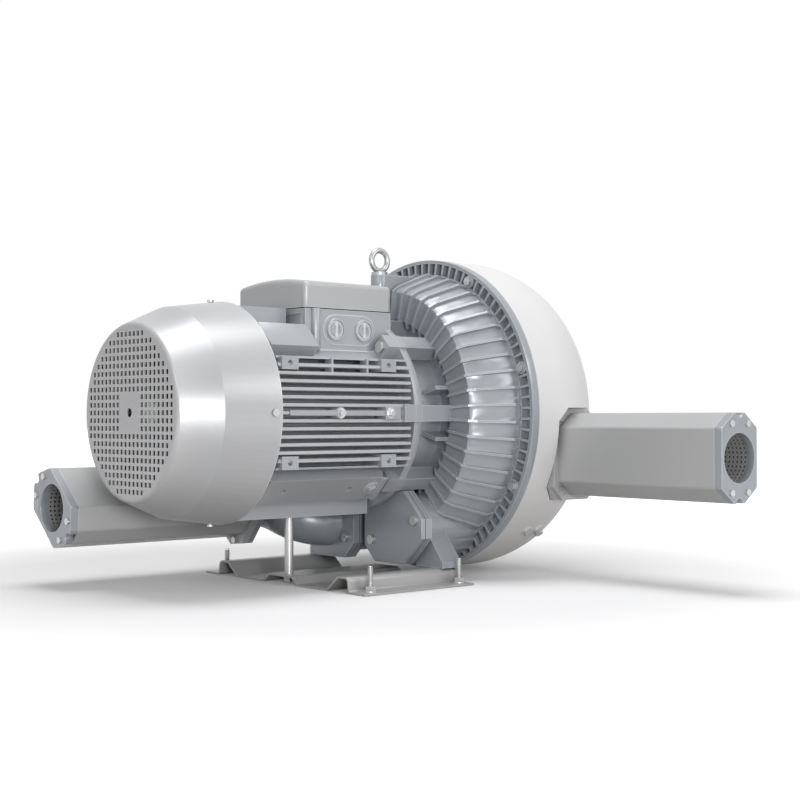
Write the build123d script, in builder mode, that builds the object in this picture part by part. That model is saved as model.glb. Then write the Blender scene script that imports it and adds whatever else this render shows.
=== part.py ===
import math
import os

from build123d import *

os.makedirs("parts", exist_ok=True)

# Side channel blower with two stages on one motor shaft.
# Lengths are in millimetres. The shaft runs along X, from the fan cover to the blower casing.
# A station is a distance along the shaft, counted from the front face of the casing's rim.

# Placement of the shaft line over the middle of the base plate's stud pattern
shaft_height = 276.0
rim_from_origin = 187.0

# Fits shared by several pieces
running_clearance = 0.05
seat_clearance = 0.2
impeller_gap = 1.0

# Fan cover
cover_face_station = -585.0
cover_crease_station = -522.0
cover_rear_station = -429.0
cover_face_radius = 134.5
cover_crease_radius = 162.0
cover_rear_radius = 174.5
cover_sheet = 2.0
cover_edge_round = 7.0
grille_radius = 128.6
grille_pitch = 11.8
grille_hole = 7.4
grille_blank = 58.0
grille_centre_hole = 7.0
cover_screw_radius = 3.0
cover_screw_head = 5.5
cover_screw_head_height = 3.0
cover_screw_length = 12.0
cover_screw_setback = 13.0

# Motor frame
frame_front_station = -160.0
frame_length = 276.0
frame_bore = 118.0
frame_wall = 16.0
fin_pitch = 12.0
fin_thickness = 3.4
side_fin_count = 15
bottom_fin_count = 9
fin_envelope_radius = 175.0
frame_half_width = 160.0
frame_half_height = 166.0
fins_front_setback = 6.0
corner_pad_distance = 170.0
corner_pad_width = 50.0
corner_pad_front_setback = 68.0
corner_pad_rear_setback = 3.0
side_pad_length = 30.0
side_pad_height = 20.0
side_pad_rise = 75.0
side_pad_spacing = 192.0
side_pad_front_setback = 55.0
side_pad_face = 163.0
side_pad_hole = 4.25
side_pad_depth = 18.0
foot_pad_hole = 5.0
foot_hole_setback = 34.0
mid_rib_thickness = 8.0
earth_boss_radius = 9.0
earth_screw_radius = 3.0
cable_hole_radius = 12.0
top_fins_box_gap = 8.0
lug_circle_radius = 152.0
lug_angles = (0, 45, 135, 180, 225, 315)
lug_size = 28.0
lug_length = 24.0
rod_pad_size = 34.0

# Motor inside
air_gap = 0.7
stator_bore = 72.0
core_length = 170.0
core_rear_setback = 50.0
winding_overhang = 34.0
winding_inner_radius = 78.0
winding_outer_radius = 112.0
end_ring_length = 12.0
rotor_shaft_radius = 26.0

# End shields and bearings
shield_flange_radius = 162.5
shield_flange_thickness = 14.0
shield_web = 12.0
rear_bearing_bore = 20.0
rear_bearing_radius = 40.0
rear_bearing_width = 18.0
front_bearing_bore = 22.5
front_bearing_radius = 42.5
front_bearing_width = 19.0
bearing_wall = 9.0
bearing_ring_share = 0.27
bearing_cage_gap = 0.3
bearing_cage_inset = 2.0
bearing_seat_inset = 3.0
shield_lug = 20.0
flange_bolt_grip = 20.0
flange_bolt_radius = 5.0

# Cooling fan
fan_front_station = -548.0
fan_radius = 122.0
fan_hub_radius = 34.0
fan_width = 40.0
fan_blade = 3.0
fan_blade_count = 8
fan_shaft_radius = 17.0

# Impellers
impeller_radius = 205.0
impeller_width = 34.0
impeller_hub_radius = 42.0
impeller_band_radius = 150.0
impeller_band = 8.0
impeller_web = 8.0
blade_thickness = 3.0
blade_count = 40
impeller_shaft_radius = 20.0
shaft_thread_radius = 12.0
key_width = 10.0
key_height = 8.0
key_length = 28.0
spacer_radius = 30.0
shaft_nut_radius = 18.0
shaft_nut_height = 11.0
seal_radius = 34.0
seal_width = 12.0

# Front casing with its wrap-over ribs and slotted rim
rim_radius = 270.0
rim_thickness = 16.0
rim_wall = 6.0
slot_inner_radius = 244.5
slot_depth = 11.0
slot_count = 90
slot_web = 3.6
crest_station = -83.0
crest_radius = 215.0
shoulder_radius = 240.0
shoulder_station = -14.0
face_inner_radius = 160.0
rib_height = 6.0
rib_count = 54
rib_thickness = 4.0
rib_rim_bite = 2.0
hub_radius = 128.0
hub_wall = 18.0
casing_web_station = -60.0
recess_station = -70.0
channel_radius = 24.0
channel_pitch_radius = 178.0
spoke_count = 12
spoke_thickness = 6.0
spoke_length = 40.0
casing_bolt_circle = 254.3
casing_bolt_count = 8
casing_bolt_angle = 28.0
casing_bolt_radius = 4.0
casing_boss_radius = 10.4
casing_spot_radius = 8.2
casing_spot_depth = 40.0

# Middle and rear casings, and the smooth rear cover
middle_thickness = 50.0
middle_channel = 18.0
inner_casing_radius = 236.0
rear_casing_wall = 14.0
rear_casing_chamfer = 5.0
rear_shaft_room = 42.0
stage_bolt_circle = 221.0
stage_bolt_count = 6
stage_bolt_angle = 54.0
stage_bolt_grip = 16.0
rear_cover_wall = 5.0
rear_cover_straight = 59.0
rear_cover_length = 184.0
rear_cover_end_radius = 195.0
rear_cover_dome = 6.0
rear_cover_flange = 14.0
cover_pad_angle = 228.0
cover_pad_stations = (78.0, 104.0)
cover_pad_seat = 270.5
cover_pad_radius = 12.0
cover_pad_length = 16.0
shaft_end_room = 24.0

# Ports under the motor and their flanges
port_offset = 85.0
port_drop = 187.0
port_bore = 38.0
port_neck_radius = 54.0
port_face_station = -132.0
port_flange = 12.0
port_half_width = 73.0
port_half_height = 60.0
port_outer_chamfer = 44.0
port_inner_chamfer = 26.0
port_bolt_circle = 58.0
port_bolt_spacing = 96.0
port_bolt_angle = 13.0
port_bolt_radius = 4.0
port_gasket = 1.5
bolt_relief = 1.5
blank_cover_thickness = 8.0
cover_edge_fillet = 2.0

# Casing feet and eye bolt
foot_offset = 162.0
foot_inner_offset = 112.0
foot_outer_offset = 176.0
foot_toe = 10.0
foot_length = 40.0
foot_front_station = -112.0
foot_top_drop = 196.0
foot_bolt_depth = 16.0
foot_bolt_station = -98.0
eye_station = -98.0
eye_boss_radius = 15.0
eye_boss_height = 238.0
eye_ring_radius = 17.5
eye_wire_radius = 5.0
eye_collar_radius = 14.0
eye_collar_height = 5.0
eye_shank_radius = 6.0
eye_shank_length = 20.0

# Silencers, one on each port
silencer_width = 88.0
silencer_height = 137.0
silencer_chamfer_width = 31.0
silencer_chamfer_height = 23.0
silencer_round = 6.0
silencer_wall = 4.0
silencer_body_length = 316.0
silencer_flange = 12.0
silencer_flange_lip = 8.0
silencer_flange_chamfer = 22.0
silencer_bolt_x = 37.0
silencer_bolt_y = 60.0
silencer_bolt_radius = 3.0
silencer_bolt_depth = 14.0
silencer_cap = 14.0
silencer_bore = 38.0
liner_bore = 38.5
liner_wall = 1.2
silencer_screw_x = 20.0
silencer_screw_y = 52.0
silencer_screw_radius = 3.0
silencer_screw_head = 5.0
silencer_screw_head_height = 2.5
silencer_boss_radius = 6.5
cap_notch_radius = 8.0

# Elbow between the inlet port and its silencer
elbow_end_station = -280.0
elbow_end_offset = 175.0
elbow_end_drop = 149.0
elbow_radius = 42.0
elbow_bore = 37.0
inlet_silencer_tilt = 40.0

# Outlet on the near side of the rear casing
outlet_station = 116.0
outlet_drop = 68.0
outlet_face = 245.0
duct_inner_offset = 150.0
duct_end_wall = 4.0

# Base plate, studs and support rod
plate_front = 121.0
plate_back = 105.0
plate_half_width = 218.0
plate_sheet = 3.0
plate_bend = 6.0
plate_flange_inner = 176.0
ridge_outer = 173.0
ridge_inner = 151.0
ridge_height = 25.0
valley_outer = 124.0
plateau_outer = 46.0
plateau_half_width = 30.0
plateau_height = 15.0
plate_hole_spacing_x = 100.0
plate_hole_spacing_y = 170.0
plate_hole_radius = 5.5
stud_spacing_x = 185.0
stud_spacing_y = 390.0
stud_radius = 4.5
stud_shank_radius = 5.0
stud_shoulder = 14.0
stud_height = 42.0
stud_nut_radius = 9.0
stud_nut_height = 7.0
washer_thickness = 1.6
washer_radius = 10.0
rod_station = -290.0
rod_radius = 7.3
rod_thread_depth = 14.0
rod_stud_radius = 5.0
rod_nut_height = 8.0
rod_floor_gap = 2.0

# Terminal box
box_front_station = -150.0
box_length = 175.0
box_half_width = 90.0
box_seam_height = 165.0
box_wall = 5.0
box_scoop_radius = 58.0
box_floor_rise = 6.0
box_pocket_length = 118.0
box_front_wall = 18.0
box_post_radius = 8.0
lid_side_height = 41.0
lid_arch = 8.0
lid_overhang = 2.0
lid_wall = 3.0
lid_corner = 8.0
lid_gasket = 1.5
lid_screw_inset = 10.0
lid_screw_radius = 2.5
lid_screw_head = 5.0
lid_screw_head_height = 3.0
lid_screw_sink = 2.5
lid_screw_depth = 14.0
plug_spacing = 57.0
plug_middle_station = -238.0
plug_height = 133.0
plug_radius = 18.0
plug_rim = 6.0
plug_thread_radius = 12.5
terminal_block_length = 80.0
terminal_block_width = 56.0
terminal_block_height = 14.0
terminal_stud_pitch = 24.0
terminal_stud_radius = 3.0
terminal_stud_height = 20.0

# Hexagon heads, given as the radius over the corners for each thread
m6_head = 5.8
m6_head_height = 4.0
m8_head = 7.5
m8_head_height = 5.3
m10_head = 9.8
m10_head_height = 6.4


def across(station):
    """Plane square to the shaft, its X to the far side and its Y up, facing the rear cover."""
    return Plane(
        origin=(rim_from_origin + station, 0, shaft_height), x_dir=(0, 1, 0), z_dir=(1, 0, 0)
    )


def level(height, station=0.0):
    """Horizontal plane at a height over the shaft line, its X along the shaft."""
    return Plane(origin=(rim_from_origin + station, 0, shaft_height + height))


def keep(piece, name):
    """Name a finished piece and write it as its own file."""
    piece.part.label = name
    export_step(piece.part, f"parts/{name}.step")


def radial(angle, radius, station):
    """Plane facing outward at a radius, the angle counted from the far side towards the top."""
    turn = math.radians(angle)
    outward = (0, math.cos(turn), math.sin(turn))
    return Plane(
        origin=(
            rim_from_origin + station,
            radius * outward[1],
            shaft_height + radius * outward[2],
        ),
        x_dir=(1, 0, 0),
        z_dir=outward,
    )


def port_outline(side):
    """The port flange's outline, its long chamfers on the outward side."""
    corners = [
        (port_half_width, port_half_height - port_outer_chamfer),
        (port_half_width - port_outer_chamfer, port_half_height),
        (port_inner_chamfer - port_half_width, port_half_height),
        (-port_half_width, port_half_height - port_inner_chamfer),
    ]
    corners += [(out, -up) for out, up in reversed(corners)]
    with Locations((side * port_offset, -port_drop)):
        Polygon(*[(side * out, up) for out, up in corners], align=None)


def silencer_outline(grow, chamfer_width, chamfer_height, mode=Mode.ADD):
    """Eight-sided outline of the silencer, grown outwards, drawn into the open sketch."""
    half_width = silencer_width / 2 + grow
    half_height = silencer_height / 2 + grow
    Polygon(
        (half_width, half_height - chamfer_height),
        (half_width - chamfer_width, half_height),
        (chamfer_width - half_width, half_height),
        (-half_width, half_height - chamfer_height),
        (-half_width, chamfer_height - half_height),
        (chamfer_width - half_width, -half_height),
        (half_width - chamfer_width, -half_height),
        (half_width, chamfer_height - half_height),
        align=None,
        mode=mode,
    )


def silencer(name, mouth):
    """One silencer outward from the flat mouth it is bolted to."""
    body_start = mouth.offset(silencer_flange)
    with BuildPart() as flange:
        with BuildSketch(mouth):
            silencer_outline(
                silencer_flange_lip, silencer_flange_chamfer, silencer_flange_chamfer
            )
            Circle(silencer_bore, mode=Mode.SUBTRACT)
            with GridLocations(2 * silencer_bolt_x, 2 * silencer_bolt_y, 2, 2):
                Circle(silencer_bolt_radius, mode=Mode.SUBTRACT)
        extrude(amount=silencer_flange)
    keep(flange, f"{name}_silencer_flange")

    with BuildPart() as body:
        with BuildSketch(body_start):
            silencer_outline(0, silencer_chamfer_width, silencer_chamfer_height)
            fillet(vertices(), silencer_round)
            silencer_outline(
                -silencer_wall, silencer_chamfer_width, silencer_chamfer_height, Mode.SUBTRACT
            )
            with GridLocations(2 * silencer_screw_x, 2 * silencer_screw_y, 2, 2):
                Circle(silencer_boss_radius)
            with GridLocations(2 * silencer_screw_x, 2 * silencer_screw_y, 2, 2):
                Circle(silencer_screw_radius, mode=Mode.SUBTRACT)
        extrude(amount=silencer_body_length)
    keep(body, f"{name}_silencer_body")

    with BuildPart() as cap:
        with BuildSketch(mouth.offset(silencer_cap_seat)):
            silencer_outline(0, silencer_chamfer_width, silencer_chamfer_height)
            fillet(vertices(), silencer_round)
            Circle(silencer_bore, mode=Mode.SUBTRACT)
            with GridLocations(0, silencer_height, 1, 2):
                Circle(cap_notch_radius, mode=Mode.SUBTRACT)
            with GridLocations(2 * silencer_screw_x, 2 * silencer_screw_y, 2, 2):
                Circle(silencer_screw_radius, mode=Mode.SUBTRACT)
        extrude(amount=silencer_cap)
    keep(cap, f"{name}_silencer_end_cap")

    with BuildPart() as liner:
        with BuildSketch(body_start):
            Circle(liner_bore + liner_wall)
            Circle(liner_bore, mode=Mode.SUBTRACT)
        extrude(amount=silencer_body_length)
    keep(liner, f"{name}_silencer_liner")

    with BuildPart() as absorber:
        with BuildSketch(body_start):
            silencer_outline(-silencer_wall, silencer_chamfer_width, silencer_chamfer_height)
            Circle(liner_bore + liner_wall, mode=Mode.SUBTRACT)
            with GridLocations(2 * silencer_screw_x, 2 * silencer_screw_y, 2, 2):
                Circle(silencer_boss_radius, mode=Mode.SUBTRACT)
        extrude(amount=silencer_body_length)
    keep(absorber, f"{name}_silencer_absorber")


lengthwise = Plane(
    origin=(rim_from_origin, 0, shaft_height), x_dir=(1, 0, 0), z_dir=(0, -1, 0)
)
shaft_line = Axis((rim_from_origin, 0, shaft_height), (1, 0, 0))
floor = Plane.XY

# Stations and radii that follow from the sizes above
frame_rear_station = frame_front_station - frame_length
frame_tube_radius = frame_bore + frame_wall
fins_front_station = frame_front_station - fins_front_setback
fins_rear_station = cover_rear_station + cover_sheet
box_rear_station = box_front_station - box_length
box_middle_station = (box_front_station + box_rear_station) / 2
top_fins_front_station = box_rear_station - top_fins_box_gap
corner_pad_rear_station = fins_rear_station + corner_pad_rear_setback
corner_pad_front_station = frame_front_station - corner_pad_front_setback
side_pad_middle = frame_front_station - side_pad_front_setback - side_pad_spacing / 2
core_rear_station = frame_rear_station + core_rear_setback
core_front_station = core_rear_station + core_length
shield_front_station = frame_front_station + shield_flange_thickness
rear_bearing_station = frame_rear_station - shield_web + bearing_seat_inset
rear_bearing_end = rear_bearing_station + rear_bearing_width
front_bearing_station = shield_front_station - front_bearing_width

# The fan cover flares, so its inside radius is worked out where the screws sit
cover_flare = (cover_rear_radius - cover_crease_radius) / (cover_rear_station - cover_crease_station)
cover_screw_station = cover_rear_station - cover_screw_setback
cover_screw_seat = cover_rear_radius - cover_flare * (cover_screw_setback - cover_screw_head)
cover_lug_radius = cover_rear_radius - cover_flare * (
    cover_rear_station - frame_rear_station + shield_web
) - cover_sheet - 2 * seat_clearance
cover_screw_angles = (0, 90, 180, 270)
grille_reach = int(grille_radius // grille_pitch)

impeller_1_rear = -impeller_gap
impeller_1_front = impeller_1_rear - impeller_width
impeller_1_middle = impeller_1_front + impeller_width / 2
impeller_2_front = middle_thickness + impeller_gap
impeller_2_rear = impeller_2_front + impeller_width
impeller_2_middle = impeller_2_front + impeller_width / 2
chamber_radius = impeller_radius + impeller_gap
chamber_1_front = impeller_1_front - impeller_gap
chamber_2_rear = impeller_2_rear + impeller_gap
rear_casing_end = chamber_2_rear + channel_radius + rear_casing_wall
shaft_nose_station = impeller_2_rear + 2 * washer_thickness + 1.2 * shaft_nut_height
slot_length = rim_radius - rim_wall - slot_inner_radius
slot_middle_radius = slot_inner_radius + slot_length / 2
slot_width = 2 * math.pi * slot_middle_radius / slot_count - slot_web
rear_cover_curve_start = rim_thickness + rear_cover_straight
rear_cover_end = rim_thickness + rear_cover_length
port_bolt_places = [
    (
        side * (port_offset + port_bolt_circle * math.cos(math.radians(turn))),
        port_bolt_circle * math.sin(math.radians(turn)) - port_drop,
    )
    for side in (-1, 1)
    for turn in (port_bolt_angle + number * port_bolt_spacing for number in range(3))
]
eye_ring_centre = eye_boss_height + eye_collar_height + eye_ring_radius + eye_wire_radius / 2
silencer_cap_seat = silencer_flange + silencer_body_length

elbow_face = port_face_station - port_gasket
elbow_flange_back = elbow_face - port_flange
ridge_top_drop = shaft_height - ridge_height
rod_pad_drop = frame_half_height + cover_sheet
box_bottom_height = math.sqrt(frame_tube_radius**2 - box_half_width**2)
box_floor_height = frame_tube_radius + box_floor_rise
box_pocket_middle = box_front_station - box_front_wall - box_pocket_length / 2
box_screw_x = box_length - 2 * lid_screw_inset
box_screw_y = 2 * (box_half_width - lid_screw_inset)
lid_bottom_height = box_seam_height + lid_gasket
lid_half_width = box_half_width + lid_overhang
lid_top_height = lid_bottom_height + lid_side_height
lid_screw_seat = lid_top_height - lid_screw_sink

# Fan cover: pressed sheet with a square-hole grille in its flat face
with BuildPart() as fan_cover:
    with BuildSketch(lengthwise):
        with BuildLine():
            Polyline(
                (cover_face_station, grille_radius),
                (cover_face_station, cover_face_radius),
                (cover_crease_station, cover_crease_radius),
                (cover_rear_station, cover_rear_radius),
                (cover_rear_station, cover_rear_radius - cover_sheet),
                (cover_crease_station + cover_sheet / 2, cover_crease_radius - cover_sheet),
                (cover_face_station + cover_sheet, cover_face_radius - cover_sheet / 2),
                (cover_face_station + cover_sheet, grille_radius),
                close=True,
            )
        make_face()
        outer_corner = (cover_face_station, cover_face_radius)
        fillet(vertices().sort_by_distance(outer_corner)[0], cover_edge_round)
        inner_corner = (cover_face_station + cover_sheet, cover_face_radius - cover_sheet / 2)
        fillet(vertices().sort_by_distance(inner_corner)[0], cover_edge_round - cover_sheet)
    revolve(axis=shaft_line)
    cells = [
        (column * grille_pitch, row * grille_pitch)
        for column in range(-grille_reach, grille_reach + 1)
        for row in range(-grille_reach, grille_reach + 1)
        if math.hypot(column, row) * grille_pitch < grille_radius - grille_hole * math.sqrt(0.5)
        and max(abs(column), abs(row)) * grille_pitch > grille_blank / 2 - grille_hole / 2
    ]
    face_plane = across(cover_face_station)
    holes = [
        Wire.make_rect(
            grille_hole, grille_hole, Plane(face_plane.from_local_coords(cell), (0, 1, 0), (1, 0, 0))
        )
        for cell in cells
    ]
    holes.append(Wire.make_circle(grille_centre_hole, face_plane))
    grille = Face(Wire.make_circle(grille_radius, face_plane), holes)
    extrude(grille, amount=cover_sheet)
    for angle in cover_screw_angles:
        with BuildSketch(radial(angle, cover_screw_seat + cover_sheet, cover_screw_station)):
            Circle(cover_screw_radius)
        extrude(amount=-4 * cover_sheet, mode=Mode.SUBTRACT)
keep(fan_cover, "fan_cover")

# Cover screws: radial, with flat round heads on the sheet
with BuildPart() as fan_cover_screws:
    for angle in cover_screw_angles:
        with BuildSketch(radial(angle, cover_screw_seat, cover_screw_station)):
            Circle(cover_screw_head)
        extrude(amount=cover_screw_head_height)
        with BuildSketch(radial(angle, cover_screw_seat, cover_screw_station)):
            Circle(cover_screw_radius)
        extrude(amount=-cover_screw_length)
keep(fan_cover_screws, "fan_cover_screws")

# Motor frame: tube with cooling fins, foot pads and lugs for the flange bolts
with BuildPart() as motor_frame:
    with BuildSketch(across(fins_rear_station)):
        with GridLocations(0, fin_pitch, 1, side_fin_count):
            Rectangle(2 * frame_half_width, fin_thickness)
        with Locations((0, -frame_half_height / 2)):
            with GridLocations(fin_pitch, 0, bottom_fin_count, 1):
                Rectangle(fin_thickness, frame_half_height)
        Circle(fin_envelope_radius, mode=Mode.INTERSECT)
    extrude(amount=fins_front_station - fins_rear_station)
    with BuildSketch(across(fins_rear_station)):
        with Locations((0, frame_half_height / 2)):
            with GridLocations(fin_pitch, 0, bottom_fin_count, 1):
                Rectangle(fin_thickness, frame_half_height)
    extrude(amount=top_fins_front_station - fins_rear_station)
    with BuildSketch(across(frame_rear_station)):
        Circle(frame_tube_radius)
    extrude(amount=frame_length)
    for angle in (225, 315):
        pad_middle = (corner_pad_rear_station + corner_pad_front_station) / 2
        with BuildSketch(radial(angle, corner_pad_distance, pad_middle)):
            Rectangle(corner_pad_front_station - corner_pad_rear_station, corner_pad_width)
        extrude(amount=frame_bore - corner_pad_distance)
    for angle in (45, 135):
        pad_middle = (corner_pad_rear_station + top_fins_front_station) / 2
        with BuildSketch(radial(angle, corner_pad_distance, pad_middle)):
            Rectangle(top_fins_front_station - corner_pad_rear_station, corner_pad_width)
        extrude(amount=frame_bore - corner_pad_distance)
    with BuildSketch(across(frame_front_station)):
        for angle in lug_angles:
            with PolarLocations(lug_circle_radius - lug_size / 2, 1, angle):
                Rectangle(2 * lug_size, lug_size)
    extrude(amount=-lug_length)
    for side in (-1, 1):
        with BuildSketch(lengthwise.offset(side * frame_bore)):
            with Locations((side_pad_middle, 0)):
                with GridLocations(side_pad_spacing, 2 * side_pad_rise, 2, 2):
                    Rectangle(side_pad_length, side_pad_height)
                Rectangle(side_pad_spacing, mid_rib_thickness)
                Circle(earth_boss_radius)
        extrude(amount=side * (side_pad_face - frame_bore))
        with BuildSketch(lengthwise.offset(side * side_pad_face)):
            with Locations((side_pad_middle, 0)):
                with GridLocations(side_pad_spacing, 2 * side_pad_rise, 2, 2):
                    Circle(side_pad_hole)
                Circle(earth_screw_radius)
        extrude(amount=-side * side_pad_depth, mode=Mode.SUBTRACT)
    with BuildSketch(level(-rod_pad_drop, rod_station)):
        Rectangle(rod_pad_size, rod_pad_size)
    extrude(amount=rod_pad_drop - frame_bore)
    with BuildSketch(level(-rod_pad_drop, rod_station)):
        Circle(rod_radius)
    extrude(amount=rod_thread_depth, mode=Mode.SUBTRACT)
    for angle in (225, 315):
        for station in (
            corner_pad_front_station - foot_hole_setback,
            corner_pad_rear_station + foot_hole_setback,
        ):
            with BuildSketch(radial(angle, corner_pad_distance, station)):
                Circle(foot_pad_hole)
            extrude(amount=-side_pad_depth, mode=Mode.SUBTRACT)
    with BuildSketch(across(frame_front_station)):
        for angle in lug_angles:
            with PolarLocations(lug_circle_radius, 1, angle):
                Circle(flange_bolt_radius)
    extrude(amount=-lug_length, mode=Mode.SUBTRACT)
    with BuildSketch(across(frame_front_station - lug_length)):
        for angle in lug_angles:
            with PolarLocations(lug_circle_radius, 1, angle):
                Circle(m10_head + bolt_relief)
    extrude(amount=-2 * m10_head_height, mode=Mode.SUBTRACT)
    with BuildSketch(across(frame_rear_station)):
        Circle(frame_bore)
    extrude(amount=frame_length, mode=Mode.SUBTRACT)
    with BuildSketch(level(frame_bore - frame_wall, box_middle_station)):
        Circle(cable_hole_radius)
    extrude(amount=3 * frame_wall, mode=Mode.SUBTRACT)
keep(motor_frame, "motor_frame")

# Earth screw on the near side of the middle rib, over a washer
with BuildPart() as earth_screw:
    with BuildSketch(lengthwise.offset(side_pad_face)):
        with Locations((side_pad_middle, 0)):
            Circle(m6_head + washer_thickness)
    extrude(amount=washer_thickness)
    with BuildSketch(lengthwise.offset(side_pad_face + washer_thickness)):
        with Locations((side_pad_middle, 0)):
            RegularPolygon(m6_head, 6)
    extrude(amount=m6_head_height)
    with BuildSketch(lengthwise.offset(side_pad_face)):
        with Locations((side_pad_middle, 0)):
            Circle(earth_screw_radius)
    extrude(amount=-side_pad_depth)
keep(earth_screw, "earth_screw")

# Stator: laminated core with a winding overhang at each end
with BuildPart() as stator_core:
    with BuildSketch(across(core_rear_station)):
        Circle(frame_bore)
        Circle(stator_bore, mode=Mode.SUBTRACT)
    extrude(amount=core_length)
keep(stator_core, "stator_core")

with BuildPart() as stator_windings:
    for station, reach in (
        (core_rear_station, -winding_overhang),
        (core_front_station, winding_overhang),
    ):
        with BuildSketch(across(station)):
            Circle(winding_outer_radius)
            Circle(winding_inner_radius, mode=Mode.SUBTRACT)
        extrude(amount=reach)
    crowns = edges().filter_by(GeomType.CIRCLE).group_by(Axis.X)
    fillet(crowns[0] + crowns[-1], winding_overhang / 4)
keep(stator_windings, "stator_windings")

# Rotor: squirrel cage core with its end rings, on the shaft
with BuildPart() as rotor_core:
    with BuildSketch(across(core_rear_station)):
        Circle(stator_bore - air_gap)
    extrude(amount=core_length)
    with BuildSketch(across(core_rear_station - end_ring_length)):
        Circle(stator_bore - end_ring_length)
    extrude(amount=core_length + 2 * end_ring_length)
    with BuildSketch(across(core_rear_station - end_ring_length)):
        Circle(rotor_shaft_radius)
    extrude(amount=core_length + 2 * end_ring_length, mode=Mode.SUBTRACT)
keep(rotor_core, "rotor_core")

# Shaft: turned steps from the fan seat to the threaded nose behind the second impeller
with BuildPart() as shaft:
    with BuildSketch(lengthwise):
        with BuildLine():
            Polyline(
                (fan_front_station, 0),
                (fan_front_station, fan_shaft_radius),
                (rear_bearing_station, fan_shaft_radius),
                (rear_bearing_station, rear_bearing_bore),
                (rear_bearing_station + rear_bearing_width, rear_bearing_bore),
                (rear_bearing_station + rear_bearing_width, rotor_shaft_radius),
                (front_bearing_station, rotor_shaft_radius),
                (front_bearing_station, front_bearing_bore),
                (impeller_1_front, front_bearing_bore),
                (impeller_1_front, impeller_shaft_radius),
                (impeller_2_rear, impeller_shaft_radius),
                (impeller_2_rear, shaft_thread_radius),
                (shaft_nose_station, shaft_thread_radius),
                (shaft_nose_station, 0),
                close=True,
            )
        make_face()
    revolve(axis=shaft_line)
    for station in (impeller_1_middle, impeller_2_middle):
        with BuildSketch(level(impeller_shaft_radius - key_height / 2, station)):
            Rectangle(key_length, key_width)
        extrude(amount=key_height, mode=Mode.SUBTRACT)
keep(shaft, "shaft")

# Keys: one in each impeller seat
with BuildPart() as impeller_keys:
    for station in (impeller_1_middle, impeller_2_middle):
        with BuildSketch(level(impeller_shaft_radius - key_height / 2, station)):
            Rectangle(key_length, key_width)
        extrude(amount=key_height)
keep(impeller_keys, "impeller_keys")

# Bearings: an inner ring on the shaft and an outer ring in the shield
bearings = (
    ("rear_bearing", rear_bearing_station, rear_bearing_bore, rear_bearing_radius, rear_bearing_width),
    ("front_bearing", front_bearing_station, front_bearing_bore, front_bearing_radius, front_bearing_width),
)
for name, station, bore, outside, width in bearings:
    ring = (outside - bore) * bearing_ring_share
    with BuildPart() as inner_ring:
        with BuildSketch(across(station)):
            Circle(bore + ring)
            Circle(bore, mode=Mode.SUBTRACT)
        extrude(amount=width)
    keep(inner_ring, f"{name}_inner_ring")
    with BuildPart() as outer_ring:
        with BuildSketch(across(station)):
            Circle(outside)
            Circle(outside - ring, mode=Mode.SUBTRACT)
        extrude(amount=width)
    keep(outer_ring, f"{name}_outer_ring")

# Ball cages, each filling the space between its two rings
with BuildPart() as bearing_cages:
    for name, station, bore, outside, width in bearings:
        ring = (outside - bore) * bearing_ring_share
        with BuildSketch(across(station + bearing_cage_inset)):
            Circle(outside - ring)
            Circle(bore + ring + bearing_cage_gap, mode=Mode.SUBTRACT)
        extrude(amount=width - 2 * bearing_cage_inset)
keep(bearing_cages, "bearing_cages")

# Rear end shield: closes the frame, holds the rear bearing and carries the cover's lugs
with BuildPart() as rear_end_shield:
    with BuildSketch(across(frame_rear_station)):
        Circle(frame_tube_radius)
        with PolarLocations(cover_lug_radius - shield_lug, 4):
            Rectangle(2 * shield_lug, shield_lug)
    extrude(amount=-shield_web)
    with BuildSketch(across(frame_rear_station - shield_web)):
        Circle(rear_bearing_radius + bearing_wall)
    extrude(amount=rear_bearing_end - frame_rear_station + shield_web)
    with BuildSketch(across(rear_bearing_station)):
        Circle(rear_bearing_radius)
    extrude(amount=rear_bearing_width, mode=Mode.SUBTRACT)
    with BuildSketch(across(frame_rear_station - shield_web)):
        Circle(fan_shaft_radius + impeller_gap)
    extrude(amount=shield_web, mode=Mode.SUBTRACT)
    for angle in cover_screw_angles:
        with BuildSketch(radial(angle, cover_screw_seat, cover_screw_station)):
            Circle(cover_screw_radius)
        extrude(amount=-cover_screw_length, mode=Mode.SUBTRACT)
    with BuildSketch(across(frame_rear_station - shield_web)):
        with PolarLocations(frame_bore + frame_wall / 2, 4, 45):
            Circle(cover_screw_radius)
    extrude(amount=shield_web, mode=Mode.SUBTRACT)
keep(rear_end_shield, "rear_end_shield")

with BuildPart() as rear_shield_screws:
    with BuildSketch(across(frame_rear_station - shield_web)):
        with PolarLocations(frame_bore + frame_wall / 2, 4, 45):
            RegularPolygon(m6_head, 6)
    extrude(amount=-m6_head_height)
    with BuildSketch(across(frame_rear_station - shield_web)):
        with PolarLocations(frame_bore + frame_wall / 2, 4, 45):
            Circle(cover_screw_radius)
    extrude(amount=shield_web)
keep(rear_shield_screws, "rear_shield_screws")

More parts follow.
